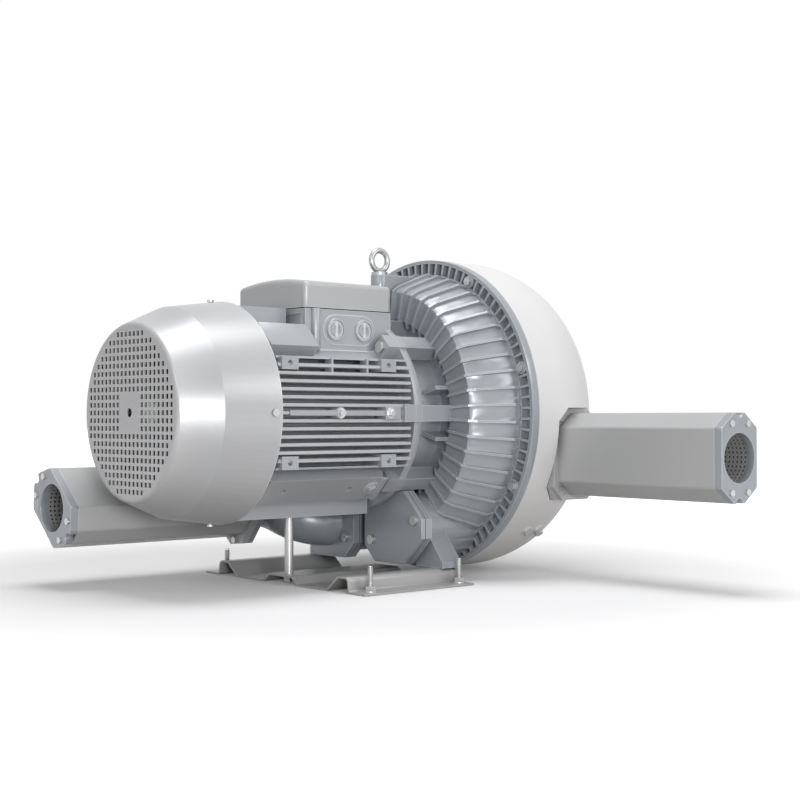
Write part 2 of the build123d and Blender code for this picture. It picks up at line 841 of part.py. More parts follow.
# Front end shield: the motor's flange, with the front bearing in its hub
with BuildPart() as front_end_shield:
    with BuildSketch(across(frame_front_station)):
        Circle(shield_flange_radius)
        for angle in lug_angles:
            with PolarLocations(lug_circle_radius, 1, angle):
                Rectangle(lug_size, lug_size)
    extrude(amount=shield_flange_thickness)
    with BuildSketch(across(shield_front_station)):
        Circle(front_bearing_radius + bearing_wall)
    extrude(amount=front_bearing_station - bearing_seat_inset - shield_front_station)
    with BuildSketch(across(front_bearing_station)):
        Circle(front_bearing_radius)
    extrude(amount=front_bearing_width, mode=Mode.SUBTRACT)
    with BuildSketch(across(front_bearing_station)):
        Circle(rotor_shaft_radius + impeller_gap)
    extrude(amount=-bearing_wall, mode=Mode.SUBTRACT)
    with BuildSketch(across(frame_front_station)):
        for angle in lug_angles:
            with PolarLocations(lug_circle_radius, 1, angle):
                Circle(flange_bolt_radius)
    extrude(amount=shield_flange_thickness, mode=Mode.SUBTRACT)
    with BuildSketch(across(shield_front_station)):
        with Locations(port_bolt_places[1], port_bolt_places[4]):
            Circle(m8_head + bolt_relief)
    extrude(
        amount=elbow_flange_back - m8_head_height - bolt_relief - shield_front_station,
        mode=Mode.SUBTRACT,
    )
keep(front_end_shield, "front_end_shield")

# Flange bolts: from the frame's lugs through the shield into the casing's bosses
with BuildPart() as flange_bolts:
    with BuildSketch(across(frame_front_station - lug_length)):
        for angle in lug_angles:
            with PolarLocations(lug_circle_radius, 1, angle):
                RegularPolygon(m10_head, 6)
    extrude(amount=-m10_head_height)
    with BuildSketch(across(frame_front_station - lug_length)):
        for angle in lug_angles:
            with PolarLocations(lug_circle_radius, 1, angle):
                Circle(flange_bolt_radius)
    extrude(amount=lug_length + shield_flange_thickness + flange_bolt_grip)
keep(flange_bolts, "flange_bolts")

# Cooling fan: back disc, hub and straight blades that blow along the frame
with BuildPart() as cooling_fan:
    with BuildSketch(across(fan_front_station + fan_width)):
        Circle(fan_radius)
    extrude(amount=fan_blade)
    with BuildSketch(across(fan_front_station)):
        Circle(fan_hub_radius)
        with PolarLocations((fan_hub_radius + fan_radius) / 2, fan_blade_count):
            Rectangle(fan_radius - fan_hub_radius + fan_blade, fan_blade)
        Circle(fan_radius, mode=Mode.INTERSECT)
    extrude(amount=fan_width)
    with BuildSketch(across(fan_front_station)):
        Circle(fan_shaft_radius)
    extrude(amount=fan_width + fan_blade, mode=Mode.SUBTRACT)
keep(cooling_fan, "cooling_fan")

# Impellers: a hub and web carrying a ring of straight blades round a thin middle disc
for name, station in (
    ("impeller_stage_1", impeller_1_front),
    ("impeller_stage_2", impeller_2_front),
):
    middle = station + impeller_width / 2
    with BuildPart() as impeller:
        with BuildSketch(across(station)):
            Circle(impeller_hub_radius)
        extrude(amount=impeller_width)
        with BuildSketch(across(station)):
            Circle(impeller_band_radius)
            Circle(impeller_band_radius - impeller_band, mode=Mode.SUBTRACT)
        extrude(amount=impeller_width)
        with BuildSketch(across(middle - impeller_web / 2)):
            Circle(impeller_radius)
        extrude(amount=impeller_web)
        with BuildSketch(across(station)):
            with PolarLocations((impeller_band_radius + impeller_radius) / 2, blade_count):
                Rectangle(impeller_radius - impeller_band_radius + blade_thickness, blade_thickness)
            Circle(impeller_radius, mode=Mode.INTERSECT)
        extrude(amount=impeller_width)
        with BuildSketch(across(station)):
            Circle(impeller_shaft_radius)
        extrude(amount=impeller_width, mode=Mode.SUBTRACT)
        with BuildSketch(level(impeller_shaft_radius - key_height / 2, middle)):
            Rectangle(impeller_width, key_width)
        extrude(amount=key_height, mode=Mode.SUBTRACT)
    keep(impeller, name)

# Spacer between the two impellers
with BuildPart() as impeller_spacer:
    with BuildSketch(across(impeller_1_rear)):
        Circle(spacer_radius)
        Circle(impeller_shaft_radius, mode=Mode.SUBTRACT)
    extrude(amount=impeller_2_front - impeller_1_rear)
keep(impeller_spacer, "impeller_spacer")

# Washer and nut on the shaft's nose
with BuildPart() as shaft_nut:
    with BuildSketch(across(impeller_2_rear)):
        Circle(impeller_shaft_radius + 2 * washer_thickness)
        Circle(shaft_thread_radius, mode=Mode.SUBTRACT)
    extrude(amount=2 * washer_thickness)
    with BuildSketch(across(impeller_2_rear + 2 * washer_thickness)):
        RegularPolygon(shaft_nut_radius, 6)
        Circle(shaft_thread_radius, mode=Mode.SUBTRACT)
    extrude(amount=shaft_nut_height)
keep(shaft_nut, "shaft_nut")

# One wrap-over rib, drawn with the shaft along Z: it starts inside, climbs the face and runs
# down the shoulder to the rim
with BuildPart() as rib:
    with BuildSketch(Plane.XZ):
        with BuildLine():
            Polyline(
                (face_inner_radius - rib_height, recess_station + rib_height),
                (face_inner_radius - rib_height, crest_station),
                (face_inner_radius + rib_height, crest_station - rib_height),
                (crest_radius - rib_height / 2, crest_station - rib_height),
                (crest_radius + rib_height, crest_station + rib_height),
                (shoulder_radius + rib_height, shoulder_station),
                (shoulder_radius + rib_height / 2, rib_rim_bite),
                (crest_radius - rib_height, recess_station + rib_height),
                close=True,
            )
        make_face()
    extrude(amount=rib_thickness / 2, both=True)

# Front casing: first-stage housing with the ribbed outside, slotted rim, ports and feet
with BuildPart() as front_casing:
    with BuildSketch(lengthwise):
        with BuildLine():
            Polyline(
                (shield_front_station, 0),
                (shield_front_station, hub_radius),
                (recess_station, hub_radius),
                (recess_station, face_inner_radius),
                (crest_station, face_inner_radius + rib_height / 2),
                (crest_station, crest_radius - rib_height),
                (crest_station + rib_height, crest_radius),
                (shoulder_station, shoulder_radius),
                (0, shoulder_radius),
                (0, rim_radius),
                (rim_thickness, rim_radius),
                (rim_thickness, 0),
                close=True,
            )
        make_face()
    revolve(axis=shaft_line)
    with BuildSketch(across(recess_station)):
        with PolarLocations((hub_radius + face_inner_radius) / 2, spoke_count, 180 / spoke_count):
            Rectangle(face_inner_radius - hub_radius + rib_height, spoke_thickness)
    extrude(amount=-spoke_length)
    with BuildSketch(across(shield_front_station)):
        for angle in lug_angles:
            with PolarLocations(lug_circle_radius, 1, angle):
                Rectangle(lug_size - cover_sheet, lug_size - cover_sheet)
    extrude(amount=recess_station - shield_front_station)
    for side in (-1, 1):
        with BuildSketch(across(port_face_station)):
            with Locations((side * port_offset, -port_drop)):
                Circle(port_neck_radius)
        extrude(amount=-port_face_station)
        with BuildSketch(across(port_face_station)):
            port_outline(side)
        extrude(amount=port_flange)
        with BuildSketch(across(foot_front_station)):
            with BuildLine():
                Polyline(
                    (side * foot_inner_offset, -ridge_top_drop),
                    (side * foot_outer_offset, -ridge_top_drop),
                    (side * foot_outer_offset, foot_toe - ridge_top_drop),
                    (side * (port_offset + port_neck_radius), -foot_top_drop),
                    (side * foot_inner_offset, -foot_top_drop),
                    close=True,
                )
            make_face()
        extrude(amount=foot_length)
    with BuildSketch(level(eye_boss_height, eye_station)):
        Circle(eye_boss_radius)
        with Locations((-eye_station / 2, 0)):
            Rectangle(-eye_station, 2 * eye_boss_radius)
    extrude(amount=-(eye_boss_height - crest_radius + 3 * rib_height))
    with BuildSketch(level(eye_boss_height, eye_station)):
        Circle(eye_shank_radius)
    extrude(amount=-eye_shank_length, mode=Mode.SUBTRACT)
    with BuildSketch(lengthwise):
        with BuildLine():
            Polyline(
                (shield_front_station, 0),
                (shield_front_station, hub_radius - hub_wall),
                (casing_web_station, hub_radius - hub_wall),
                (casing_web_station, seal_radius),
                (chamber_1_front, seal_radius),
                (chamber_1_front, chamber_radius),
                (0, chamber_radius),
                (0, inner_casing_radius + seat_clearance),
                (rim_thickness, inner_casing_radius + seat_clearance),
                (rim_thickness, 0),
                close=True,
            )
        make_face()
    revolve(axis=shaft_line, mode=Mode.SUBTRACT)
    with BuildSketch(lengthwise):
        with Locations((chamber_1_front, channel_pitch_radius)):
            Circle(channel_radius)
    revolve(axis=shaft_line, mode=Mode.SUBTRACT)
    with BuildSketch(across(port_face_station)):
        with Locations(*port_bolt_places):
            Circle(port_bolt_radius)
    extrude(amount=port_flange, mode=Mode.SUBTRACT)
    with BuildSketch(across(0)):
        with PolarLocations(casing_bolt_circle, casing_bolt_count, casing_bolt_angle):
            Circle(casing_spot_radius)
    extrude(amount=-casing_spot_depth, mode=Mode.SUBTRACT)
    with BuildSketch(across(0)):
        with PolarLocations(casing_bolt_circle, casing_bolt_count, casing_bolt_angle):
            Circle(casing_bolt_radius)
    extrude(amount=rim_thickness, mode=Mode.SUBTRACT)
    with BuildSketch(across(0)):
        with PolarLocations(stage_bolt_circle, stage_bolt_count, stage_bolt_angle):
            Circle(casing_bolt_radius)
    extrude(amount=-stage_bolt_grip, mode=Mode.SUBTRACT)
    with BuildSketch(across(shield_front_station)):
        for angle in lug_angles:
            with PolarLocations(lug_circle_radius, 1, angle):
                Circle(flange_bolt_radius)
    extrude(amount=flange_bolt_grip, mode=Mode.SUBTRACT)
    with BuildSketch(level(-ridge_top_drop, foot_bolt_station)):
        with GridLocations(0, 2 * foot_offset, 1, 2):
            Circle(casing_bolt_radius)
    extrude(amount=foot_bolt_depth, mode=Mode.SUBTRACT)
    with BuildSketch(across(0)):
        with PolarLocations(slot_middle_radius, slot_count):
            Rectangle(slot_length, slot_width)
        with PolarLocations(casing_bolt_circle, casing_bolt_count, casing_bolt_angle):
            Circle(casing_boss_radius, mode=Mode.SUBTRACT)
    extrude(amount=slot_depth, mode=Mode.SUBTRACT)
    with Locations(across(0)):
        with PolarLocations(0, rib_count, 180 / rib_count):
            add(rib.part)
    with BuildSketch(across(port_face_station)):
        for side in (-1, 1):
            with Locations((side * port_offset, -port_drop)):
                Circle(port_bore)
    extrude(amount=chamber_1_front - channel_radius / 2 - port_face_station, mode=Mode.SUBTRACT)
keep(front_casing, "front_casing")

# Shaft seal in the casing's web, against the running journal
with BuildPart() as shaft_seal:
    with BuildSketch(across(casing_web_station)):
        Circle(seal_radius)
        Circle(front_bearing_bore + running_clearance, mode=Mode.SUBTRACT)
    extrude(amount=seal_width)
keep(shaft_seal, "shaft_seal")

# Middle casing: the wall between the stages, with a channel in each face and a way across
with BuildPart() as middle_casing:
    with BuildSketch(across(0)):
        Circle(inner_casing_radius)
        Circle(spacer_radius + seat_clearance, mode=Mode.SUBTRACT)
        with PolarLocations(channel_pitch_radius, 1, 120):
            Circle(middle_channel, mode=Mode.SUBTRACT)
        with PolarLocations(stage_bolt_circle, stage_bolt_count, stage_bolt_angle):
            Circle(casing_bolt_radius, mode=Mode.SUBTRACT)
    extrude(amount=middle_thickness)
    with BuildSketch(lengthwise):
        with Locations((0, channel_pitch_radius), (middle_thickness, channel_pitch_radius)):
            Ellipse(middle_channel, channel_radius)
    revolve(axis=shaft_line, mode=Mode.SUBTRACT)
    with BuildSketch(across(middle_thickness)):
        Circle(impeller_band_radius - impeller_band)
        Circle(impeller_hub_radius + impeller_band, mode=Mode.SUBTRACT)
    extrude(amount=-middle_thickness / 2, mode=Mode.SUBTRACT)
keep(middle_casing, "middle_casing")

# Rear casing: second-stage housing with the outlet duct on its near side
outlet_mouth = Plane(
    origin=(rim_from_origin + outlet_station, -outlet_face, shaft_height - outlet_drop),
    x_dir=(1, 0, 0),
    z_dir=(0, -1, 0),
)
with BuildPart() as rear_casing:
    with BuildSketch(across(middle_thickness)):
        Circle(inner_casing_radius)
    extrude(amount=rear_casing_end - middle_thickness)
    chamfer(edges().filter_by(GeomType.CIRCLE).group_by(Axis.X)[-1], rear_casing_chamfer)
    with BuildSketch(outlet_mouth):
        silencer_outline(silencer_flange_lip, silencer_flange_chamfer, silencer_flange_chamfer)
    extrude(amount=-(outlet_face - duct_inner_offset))
    with BuildSketch(lengthwise):
        with BuildLine():
            Polyline(
                (middle_thickness, 0),
                (middle_thickness, chamber_radius),
                (chamber_2_rear, chamber_radius),
                (chamber_2_rear, rear_shaft_room),
                (chamber_2_rear + shaft_end_room, rear_shaft_room),
                (chamber_2_rear + shaft_end_room, 0),
                close=True,
            )
        make_face()
    revolve(axis=shaft_line, mode=Mode.SUBTRACT)
    with BuildSketch(lengthwise):
        with Locations((chamber_2_rear, channel_pitch_radius)):
            Circle(channel_radius)
    revolve(axis=shaft_line, mode=Mode.SUBTRACT)
    with BuildSketch(outlet_mouth):
        Circle(port_bore)
    extrude(amount=-(outlet_face - duct_inner_offset - duct_end_wall), mode=Mode.SUBTRACT)
    with BuildSketch(outlet_mouth):
        with GridLocations(2 * silencer_bolt_x, 2 * silencer_bolt_y, 2, 2):
            Circle(silencer_bolt_radius)
    extrude(amount=-silencer_bolt_depth, mode=Mode.SUBTRACT)
    with BuildSketch(across(middle_thickness)):
        with PolarLocations(stage_bolt_circle, stage_bolt_count, stage_bolt_angle):
            Circle(casing_bolt_radius)
    extrude(amount=rear_casing_end - middle_thickness, mode=Mode.SUBTRACT)
keep(rear_casing, "rear_casing")

# Stage bolts: long bolts that clamp both inner casings to the front casing
with BuildPart() as stage_bolts:
    with BuildSketch(across(rear_casing_end)):
        with PolarLocations(stage_bolt_circle, stage_bolt_count, stage_bolt_angle):
            RegularPolygon(m8_head, 6)
    extrude(amount=m8_head_height)
    with BuildSketch(across(rear_casing_end)):
        with PolarLocations(stage_bolt_circle, stage_bolt_count, stage_bolt_angle):
            Circle(casing_bolt_radius)
    extrude(amount=-(rear_casing_end + stage_bolt_grip))
keep(stage_bolts, "stage_bolts")

# Rear cover: the smooth bowl over both inner casings, open where the outlet duct comes out
with BuildPart() as rear_cover:
    for inset in (0, rear_cover_wall):
        with BuildSketch(lengthwise):
            with BuildLine():
                Polyline(
                    (rear_cover_curve_start, rim_radius - inset),
                    (rim_thickness, rim_radius - inset),
                    (rim_thickness, 0),
                    (rear_cover_end - inset, 0),
                )
                ThreePointArc(
                    (rear_cover_end - inset, 0),
                    (
                        rear_cover_end - inset - rear_cover_dome / 4,
                        (rear_cover_end_radius - inset) / 2,
                    ),
                    (rear_cover_end - inset - rear_cover_dome, rear_cover_end_radius - inset),
                )
                EllipticalCenterArc(
                    (rear_cover_curve_start, rear_cover_end_radius - inset),
                    rear_cover_end - inset - rear_cover_dome - rear_cover_curve_start,
                    rim_radius - rear_cover_end_radius,
                )
            make_face()
        revolve(axis=shaft_line, mode=Mode.SUBTRACT if inset else Mode.ADD)
    with BuildSketch(across(rim_thickness)):
        Circle(rim_radius)
        Circle(shoulder_radius, mode=Mode.SUBTRACT)
    extrude(amount=rear_cover_flange)
    with BuildSketch(across(rim_thickness)):
        with PolarLocations(casing_bolt_circle, casing_bolt_count, casing_bolt_angle):
            Circle(casing_bolt_radius)
    extrude(amount=rear_cover_flange - duct_end_wall, mode=Mode.SUBTRACT)
    with BuildSketch(outlet_mouth.offset(-(outlet_face - duct_inner_offset))):
        silencer_outline(
            silencer_flange_lip + impeller_gap, silencer_flange_chamfer, silencer_flange_chamfer
        )
    extrude(amount=rim_radius, mode=Mode.SUBTRACT)
    for station in cover_pad_stations:
        with BuildSketch(radial(cover_pad_angle, cover_pad_seat, station)):
            Circle(cover_pad_radius)
        extrude(amount=-cover_pad_length)
        with BuildSketch(radial(cover_pad_angle, cover_pad_seat, station)):
            Circle(casing_bolt_radius)
        extrude(amount=cover_edge_fillet - cover_pad_length, mode=Mode.SUBTRACT)
keep(rear_cover, "rear_cover")

# Casing bolts: eight through the rim's bosses into the cover's flange, two with washers below
with BuildPart() as casing_bolts:
    with BuildSketch(across(0)):
        with PolarLocations(casing_bolt_circle, casing_bolt_count, casing_bolt_angle):
            RegularPolygon(m8_head, 6)
    extrude(amount=-m8_head_height)
    with BuildSketch(across(0)):
        with PolarLocations(casing_bolt_circle, casing_bolt_count, casing_bolt_angle):
            Circle(casing_bolt_radius)
    extrude(amount=rim_thickness + rear_cover_flange - duct_end_wall)
    for station in cover_pad_stations:
        with BuildSketch(radial(cover_pad_angle, cover_pad_seat, station)):
            Circle(washer_radius)
        extrude(amount=washer_thickness)
        with BuildSketch(radial(cover_pad_angle, cover_pad_seat + washer_thickness, station)):
            RegularPolygon(m8_head, 6)
        extrude(amount=m8_head_height)
        with BuildSketch(radial(cover_pad_angle, cover_pad_seat, station)):
            Circle(casing_bolt_radius)
        extrude(amount=cover_edge_fillet - cover_pad_length)
keep(casing_bolts, "casing_bolts")

# Gaskets under the two port flanges
with BuildPart() as port_gaskets:
    with BuildSketch(across(port_face_station)):
        port_outline(-1)
        port_outline(1)
        with Locations((-port_offset, -port_drop), (port_offset, -port_drop)):
            Circle(port_bore, mode=Mode.SUBTRACT)
        with Locations(*port_bolt_places):
            Circle(port_bolt_radius, mode=Mode.SUBTRACT)
    extrude(amount=-port_gasket)
keep(port_gaskets, "port_gaskets")

# Blank cover on the unused near port
with BuildPart() as blank_port_cover:
    with BuildSketch(across(port_face_station - port_gasket)):
        port_outline(-1)
    extrude(amount=-blank_cover_thickness)
    fillet(edges().group_by(Axis.X)[0], cover_edge_fillet)
    with BuildSketch(across(port_face_station - port_gasket)):
        with Locations(*port_bolt_places):
            Circle(port_bolt_radius)
    extrude(amount=-blank_cover_thickness, mode=Mode.SUBTRACT)
keep(blank_port_cover, "blank_port_cover")

# Port bolts on both flanges
with BuildPart() as port_bolts:
    for side, seat in (
        (-1, port_face_station - port_gasket - blank_cover_thickness),
        (1, port_face_station - port_gasket - port_flange),
    ):
        places = [place for place in port_bolt_places if place[0] * side > 0]
        with BuildSketch(across(seat)):
            with Locations(*places):
                Circle(m8_head)
        extrude(amount=-m8_head_height)
        with BuildSketch(across(seat)):
            with Locations(*places):
                Circle(port_bolt_radius)
        extrude(amount=port_face_station + port_flange - seat)
keep(port_bolts, "port_bolts")

# Inlet elbow: an S-shaped pipe from the far port out to the silencer beside the motor
elbow_run = elbow_face - elbow_end_station - 2 * port_flange
elbow_shift = math.hypot(elbow_end_offset - port_offset, port_drop - elbow_end_drop)
elbow_bend = (elbow_run**2 + elbow_shift**2) / (4 * elbow_shift)
elbow_turn = 2 * math.degrees(math.atan(elbow_shift / elbow_run))
elbow_plane = Plane(
    origin=(rim_from_origin + elbow_face, port_offset, shaft_height - port_drop),
    x_dir=(-1, 0, 0),
    z_dir=(0, port_drop - elbow_end_drop, port_offset - elbow_end_offset),
)
elbow_mouth = Plane(elbow_plane.origin, x_dir=(0, 1, 0), z_dir=(-1, 0, 0))
inlet_tilt = math.radians(inlet_silencer_tilt)
inlet_mouth = Plane(
    origin=(rim_from_origin + elbow_end_station, elbow_end_offset, shaft_height - elbow_end_drop),
    x_dir=(0, -math.sin(inlet_tilt), math.cos(inlet_tilt)),
    z_dir=(-1, 0, 0),
)
with BuildPart() as inlet_elbow:
    with BuildLine(elbow_plane) as elbow_path:
        Line((0, 0), (port_flange, 0))
        CenterArc((port_flange, elbow_bend), elbow_bend, -90, elbow_turn)
        CenterArc(
            (port_flange + elbow_run, elbow_shift - elbow_bend),
            elbow_bend,
            90 + elbow_turn,
            -elbow_turn,
        )
        Line((port_flange + elbow_run, elbow_shift), (2 * port_flange + elbow_run, elbow_shift))
    with BuildSketch(elbow_mouth):
        Circle(elbow_radius)
    sweep(path=elbow_path.wire())
    with BuildSketch(across(elbow_face)):
        port_outline(1)
    extrude(amount=-port_flange)
    with BuildSketch(inlet_mouth):
        silencer_outline(silencer_flange_lip, silencer_flange_chamfer, silencer_flange_chamfer)
    extrude(amount=-port_flange)
    with BuildSketch(elbow_mouth):
        Circle(elbow_bore)
    sweep(path=elbow_path.wire(), mode=Mode.SUBTRACT)
    with BuildSketch(across(elbow_face)):
        with Locations(*port_bolt_places[3:]):
            Circle(port_bolt_radius)
    extrude(amount=-port_flange, mode=Mode.SUBTRACT)
    with BuildSketch(inlet_mouth):
        with GridLocations(2 * silencer_bolt_x, 2 * silencer_bolt_y, 2, 2):
            Circle(silencer_bolt_radius)
    extrude(amount=-port_flange, mode=Mode.SUBTRACT)
keep(inlet_elbow, "inlet_elbow")

# Both silencers are the same product
silencer("inlet", inlet_mouth)
silencer("outlet", outlet_mouth)

with BuildPart() as silencer_cap_screws:
    for mouth in (inlet_mouth, outlet_mouth):
        with BuildSketch(mouth.offset(silencer_cap_seat + silencer_cap)):
            with GridLocations(2 * silencer_screw_x, 2 * silencer_screw_y, 2, 2):
                Circle(silencer_screw_head)
        extrude(amount=silencer_screw_head_height)
        with BuildSketch(mouth.offset(silencer_cap_seat - silencer_cap)):
            with GridLocations(2 * silencer_screw_x, 2 * silencer_screw_y, 2, 2):
                Circle(silencer_screw_radius)
        extrude(amount=2 * silencer_cap)
keep(silencer_cap_screws, "silencer_cap_screws")

with BuildPart() as silencer_flange_bolts:
    for mouth, reach in ((inlet_mouth, port_flange), (outlet_mouth, silencer_bolt_depth)):
        with BuildSketch(mouth.offset(silencer_flange)):
            with GridLocations(2 * silencer_bolt_x, 2 * silencer_bolt_y, 2, 2):
                RegularPolygon(m6_head, 6)
        extrude(amount=m6_head_height)
        with BuildSketch(mouth.offset(silencer_flange)):
            with GridLocations(2 * silencer_bolt_x, 2 * silencer_bolt_y, 2, 2):
                Circle(silencer_bolt_radius)
        extrude(amount=-silencer_flange - reach)
keep(silencer_flange_bolts, "silencer_flange_bolts")

# Eye bolt for lifting, screwed into the boss on top of the casing
with BuildPart() as eye_bolt:
    with BuildSketch(level(eye_boss_height, eye_station)):
        Circle(eye_collar_radius)
    extrude(amount=eye_collar_height)
    with BuildSketch(level(eye_boss_height, eye_station)):
        Circle(eye_shank_radius)
    extrude(amount=-eye_shank_length)
    with BuildSketch(across(eye_station)):
        with Locations((0, eye_ring_centre + eye_ring_radius)):
            Circle(eye_wire_radius)
    revolve(
        axis=Axis(
            (rim_from_origin + eye_station, 0, shaft_height + eye_ring_centre), (0, 1, 0)
        )
    )
keep(eye_bolt, "eye_bolt")

# Terminal box on the frame: its base is scooped out on the fan side and sits on the tube
with BuildPart() as terminal_box:
    with BuildSketch(level(box_seam_height, box_middle_station)):
        Rectangle(box_length, 2 * box_half_width)
    extrude(amount=box_bottom_height - box_seam_height)
    with BuildSketch(lengthwise.offset(-(box_half_width - box_wall))):
        with Locations((box_rear_station, box_bottom_height)):
            Circle(box_scoop_radius)
    extrude(amount=2 * (box_half_width - box_wall), mode=Mode.SUBTRACT)
    with BuildSketch(level(box_seam_height, box_pocket_middle)):
        Rectangle(box_pocket_length, 2 * (box_half_width - box_wall))
    extrude(amount=-(box_seam_height - box_floor_height), mode=Mode.SUBTRACT)
    with BuildSketch(level(box_seam_height, box_rear_station + 2 * lid_screw_inset)):
        with GridLocations(0, 2 * box_half_width, 1, 2):
            Circle(box_post_radius)
    extrude(amount=box_bottom_height - box_seam_height)
    with BuildSketch(across(box_rear_station)):
        Circle(frame_tube_radius)
    extrude(amount=box_length, mode=Mode.SUBTRACT)
    with BuildSketch(level(box_seam_height, box_middle_station)):
        with GridLocations(box_screw_x, box_screw_y, 2, 2):
            Circle(lid_screw_radius + box_wall)
    extrude(amount=box_floor_height - box_seam_height)
    with BuildSketch(level(box_seam_height, box_middle_station)):
        with GridLocations(box_screw_x, box_screw_y, 2, 2):
            Circle(lid_screw_radius)
    extrude(amount=-lid_screw_depth, mode=Mode.SUBTRACT)
    with BuildSketch(lengthwise.offset(box_half_width)):
        with Locations((plug_middle_station, plug_height)):
            with GridLocations(plug_spacing, 0, 2, 1):
                Circle(plug_thread_radius)
    extrude(amount=-box_wall, mode=Mode.SUBTRACT)
    with BuildSketch(across(frame_front_station - seat_clearance)):
        Circle(shield_flange_radius + seat_clearance)
    extrude(amount=box_front_station - frame_front_station + seat_clearance, mode=Mode.SUBTRACT)
    with BuildSketch(across(box_front_station)):
        with PolarLocations(lug_circle_radius - lug_size / 2, 4, 45):
            Rectangle(2 * (lug_size + seat_clearance), lug_size + 2 * seat_clearance)
    extrude(
        amount=frame_front_station - lug_length - seat_clearance - box_front_station,
        mode=Mode.SUBTRACT,
    )
keep(terminal_box, "terminal_box")

with BuildPart() as terminal_box_gasket:
    with BuildSketch(level(box_seam_height, box_middle_station)):
        Rectangle(box_length, 2 * box_half_width)
        Rectangle(
            box_length - 2 * box_wall, 2 * (box_half_width - box_wall), mode=Mode.SUBTRACT
        )
        with GridLocations(box_screw_x, box_screw_y, 2, 2):
            Circle(lid_screw_radius + box_wall)
        with GridLocations(box_screw_x, box_screw_y, 2, 2):
            Circle(lid_screw_radius, mode=Mode.SUBTRACT)
    extrude(amount=lid_gasket)
keep(terminal_box_gasket, "terminal_box_gasket")

# Lid with a gently arched top and rounded corners
with BuildPart() as terminal_box_lid:
    with BuildSketch(across(box_rear_station - lid_overhang)):
        with BuildLine():
            Polyline(
                (lid_half_width, lid_top_height),
                (lid_half_width, lid_bottom_height),
                (-lid_half_width, lid_bottom_height),
                (-lid_half_width, lid_top_height),
            )
            ThreePointArc(
                (-lid_half_width, lid_top_height),
                (0, lid_top_height + lid_arch),
                (lid_half_width, lid_top_height),
            )
        make_face()
    extrude(amount=box_length + 2 * lid_overhang)
    fillet(edges().filter_by(Axis.Z), lid_corner)
    fillet(edges().filter_by(Axis.X).group_by(Axis.Z)[-1], lid_corner)
    with BuildSketch(level(lid_bottom_height, box_middle_station)):
        Rectangle(box_length - 2 * lid_wall, 2 * (box_half_width - lid_wall))
        fillet(vertices(), lid_corner - lid_wall)
    extrude(amount=lid_side_height - lid_wall, mode=Mode.SUBTRACT)
    with BuildSketch(level(lid_bottom_height, box_middle_station)):
        with GridLocations(box_screw_x, box_screw_y, 2, 2):
            Circle(lid_screw_radius + box_wall)
    extrude(amount=lid_side_height)
    with BuildSketch(level(lid_bottom_height, box_middle_station)):
        with GridLocations(box_screw_x, box_screw_y, 2, 2):
            Circle(lid_screw_radius)
    extrude(amount=lid_side_height + lid_arch, mode=Mode.SUBTRACT)
    with BuildSketch(level(lid_screw_seat, box_middle_station)):
        with GridLocations(box_screw_x, box_screw_y, 2, 2):
            Circle(lid_screw_head + seat_clearance)
    extrude(amount=lid_arch, mode=Mode.SUBTRACT)
keep(terminal_box_lid, "terminal_box_lid")

with BuildPart() as terminal_lid_screws:
    with BuildSketch(level(lid_screw_seat, box_middle_station)):
        with GridLocations(box_screw_x, box_screw_y, 2, 2):
            Circle(lid_screw_head)
    extrude(amount=lid_screw_head_height)
    with BuildSketch(level(lid_screw_seat, box_middle_station)):
        with GridLocations(box_screw_x, box_screw_y, 2, 2):
            Circle(lid_screw_radius)
    extrude(amount=box_seam_height - lid_screw_depth - lid_screw_seat)
keep(terminal_lid_screws, "terminal_lid_screws")

# Blanking plugs in the two cable entries on the near side
with BuildPart() as blanking_plugs:
    with BuildSketch(lengthwise.offset(box_half_width)):
        with Locations((plug_middle_station, plug_height)):
            with GridLocations(plug_spacing, 0, 2, 1):
                Circle(plug_radius)
    extrude(amount=plug_rim)
    with BuildSketch(lengthwise.offset(box_half_width + plug_rim)):
        with Locations((plug_middle_station, plug_height)):
            with GridLocations(plug_spacing, 0, 2, 1):
                Circle(plug_radius - box_wall)
    extrude(amount=-plug_rim / 2, mode=Mode.SUBTRACT)
    with BuildSketch(lengthwise.offset(box_half_width)):
        with Locations((plug_middle_station, plug_height)):
            with GridLocations(plug_spacing, 0, 2, 1):
                Circle(plug_thread_radius)
    extrude(amount=-box_wall)
keep(blanking_plugs, "blanking_plugs")

# Terminal block on the box floor, with six brass studs
with BuildPart() as terminal_block:
    with BuildSketch(level(box_floor_height, box_pocket_middle)):
        Rectangle(terminal_block_length, terminal_block_width)
        with GridLocations(terminal_stud_pitch, terminal_stud_pitch, 3, 2):
            Circle(terminal_stud_radius, mode=Mode.SUBTRACT)
    extrude(amount=terminal_block_height)
keep(terminal_block, "terminal_block")

with BuildPart() as terminal_studs:
    with BuildSketch(level(box_floor_height, box_pocket_middle)):
        with GridLocations(terminal_stud_pitch, terminal_stud_pitch, 3, 2):
            Circle(terminal_stud_radius)
    extrude(amount=terminal_stud_height)
    with BuildSketch(level(box_floor_height + terminal_block_height, box_pocket_middle)):
        with GridLocations(terminal_stud_pitch, terminal_stud_pitch, 3, 2):
            RegularPolygon(2 * terminal_stud_radius, 6)
    extrude(amount=terminal_stud_radius)
keep(terminal_studs, "terminal_studs")

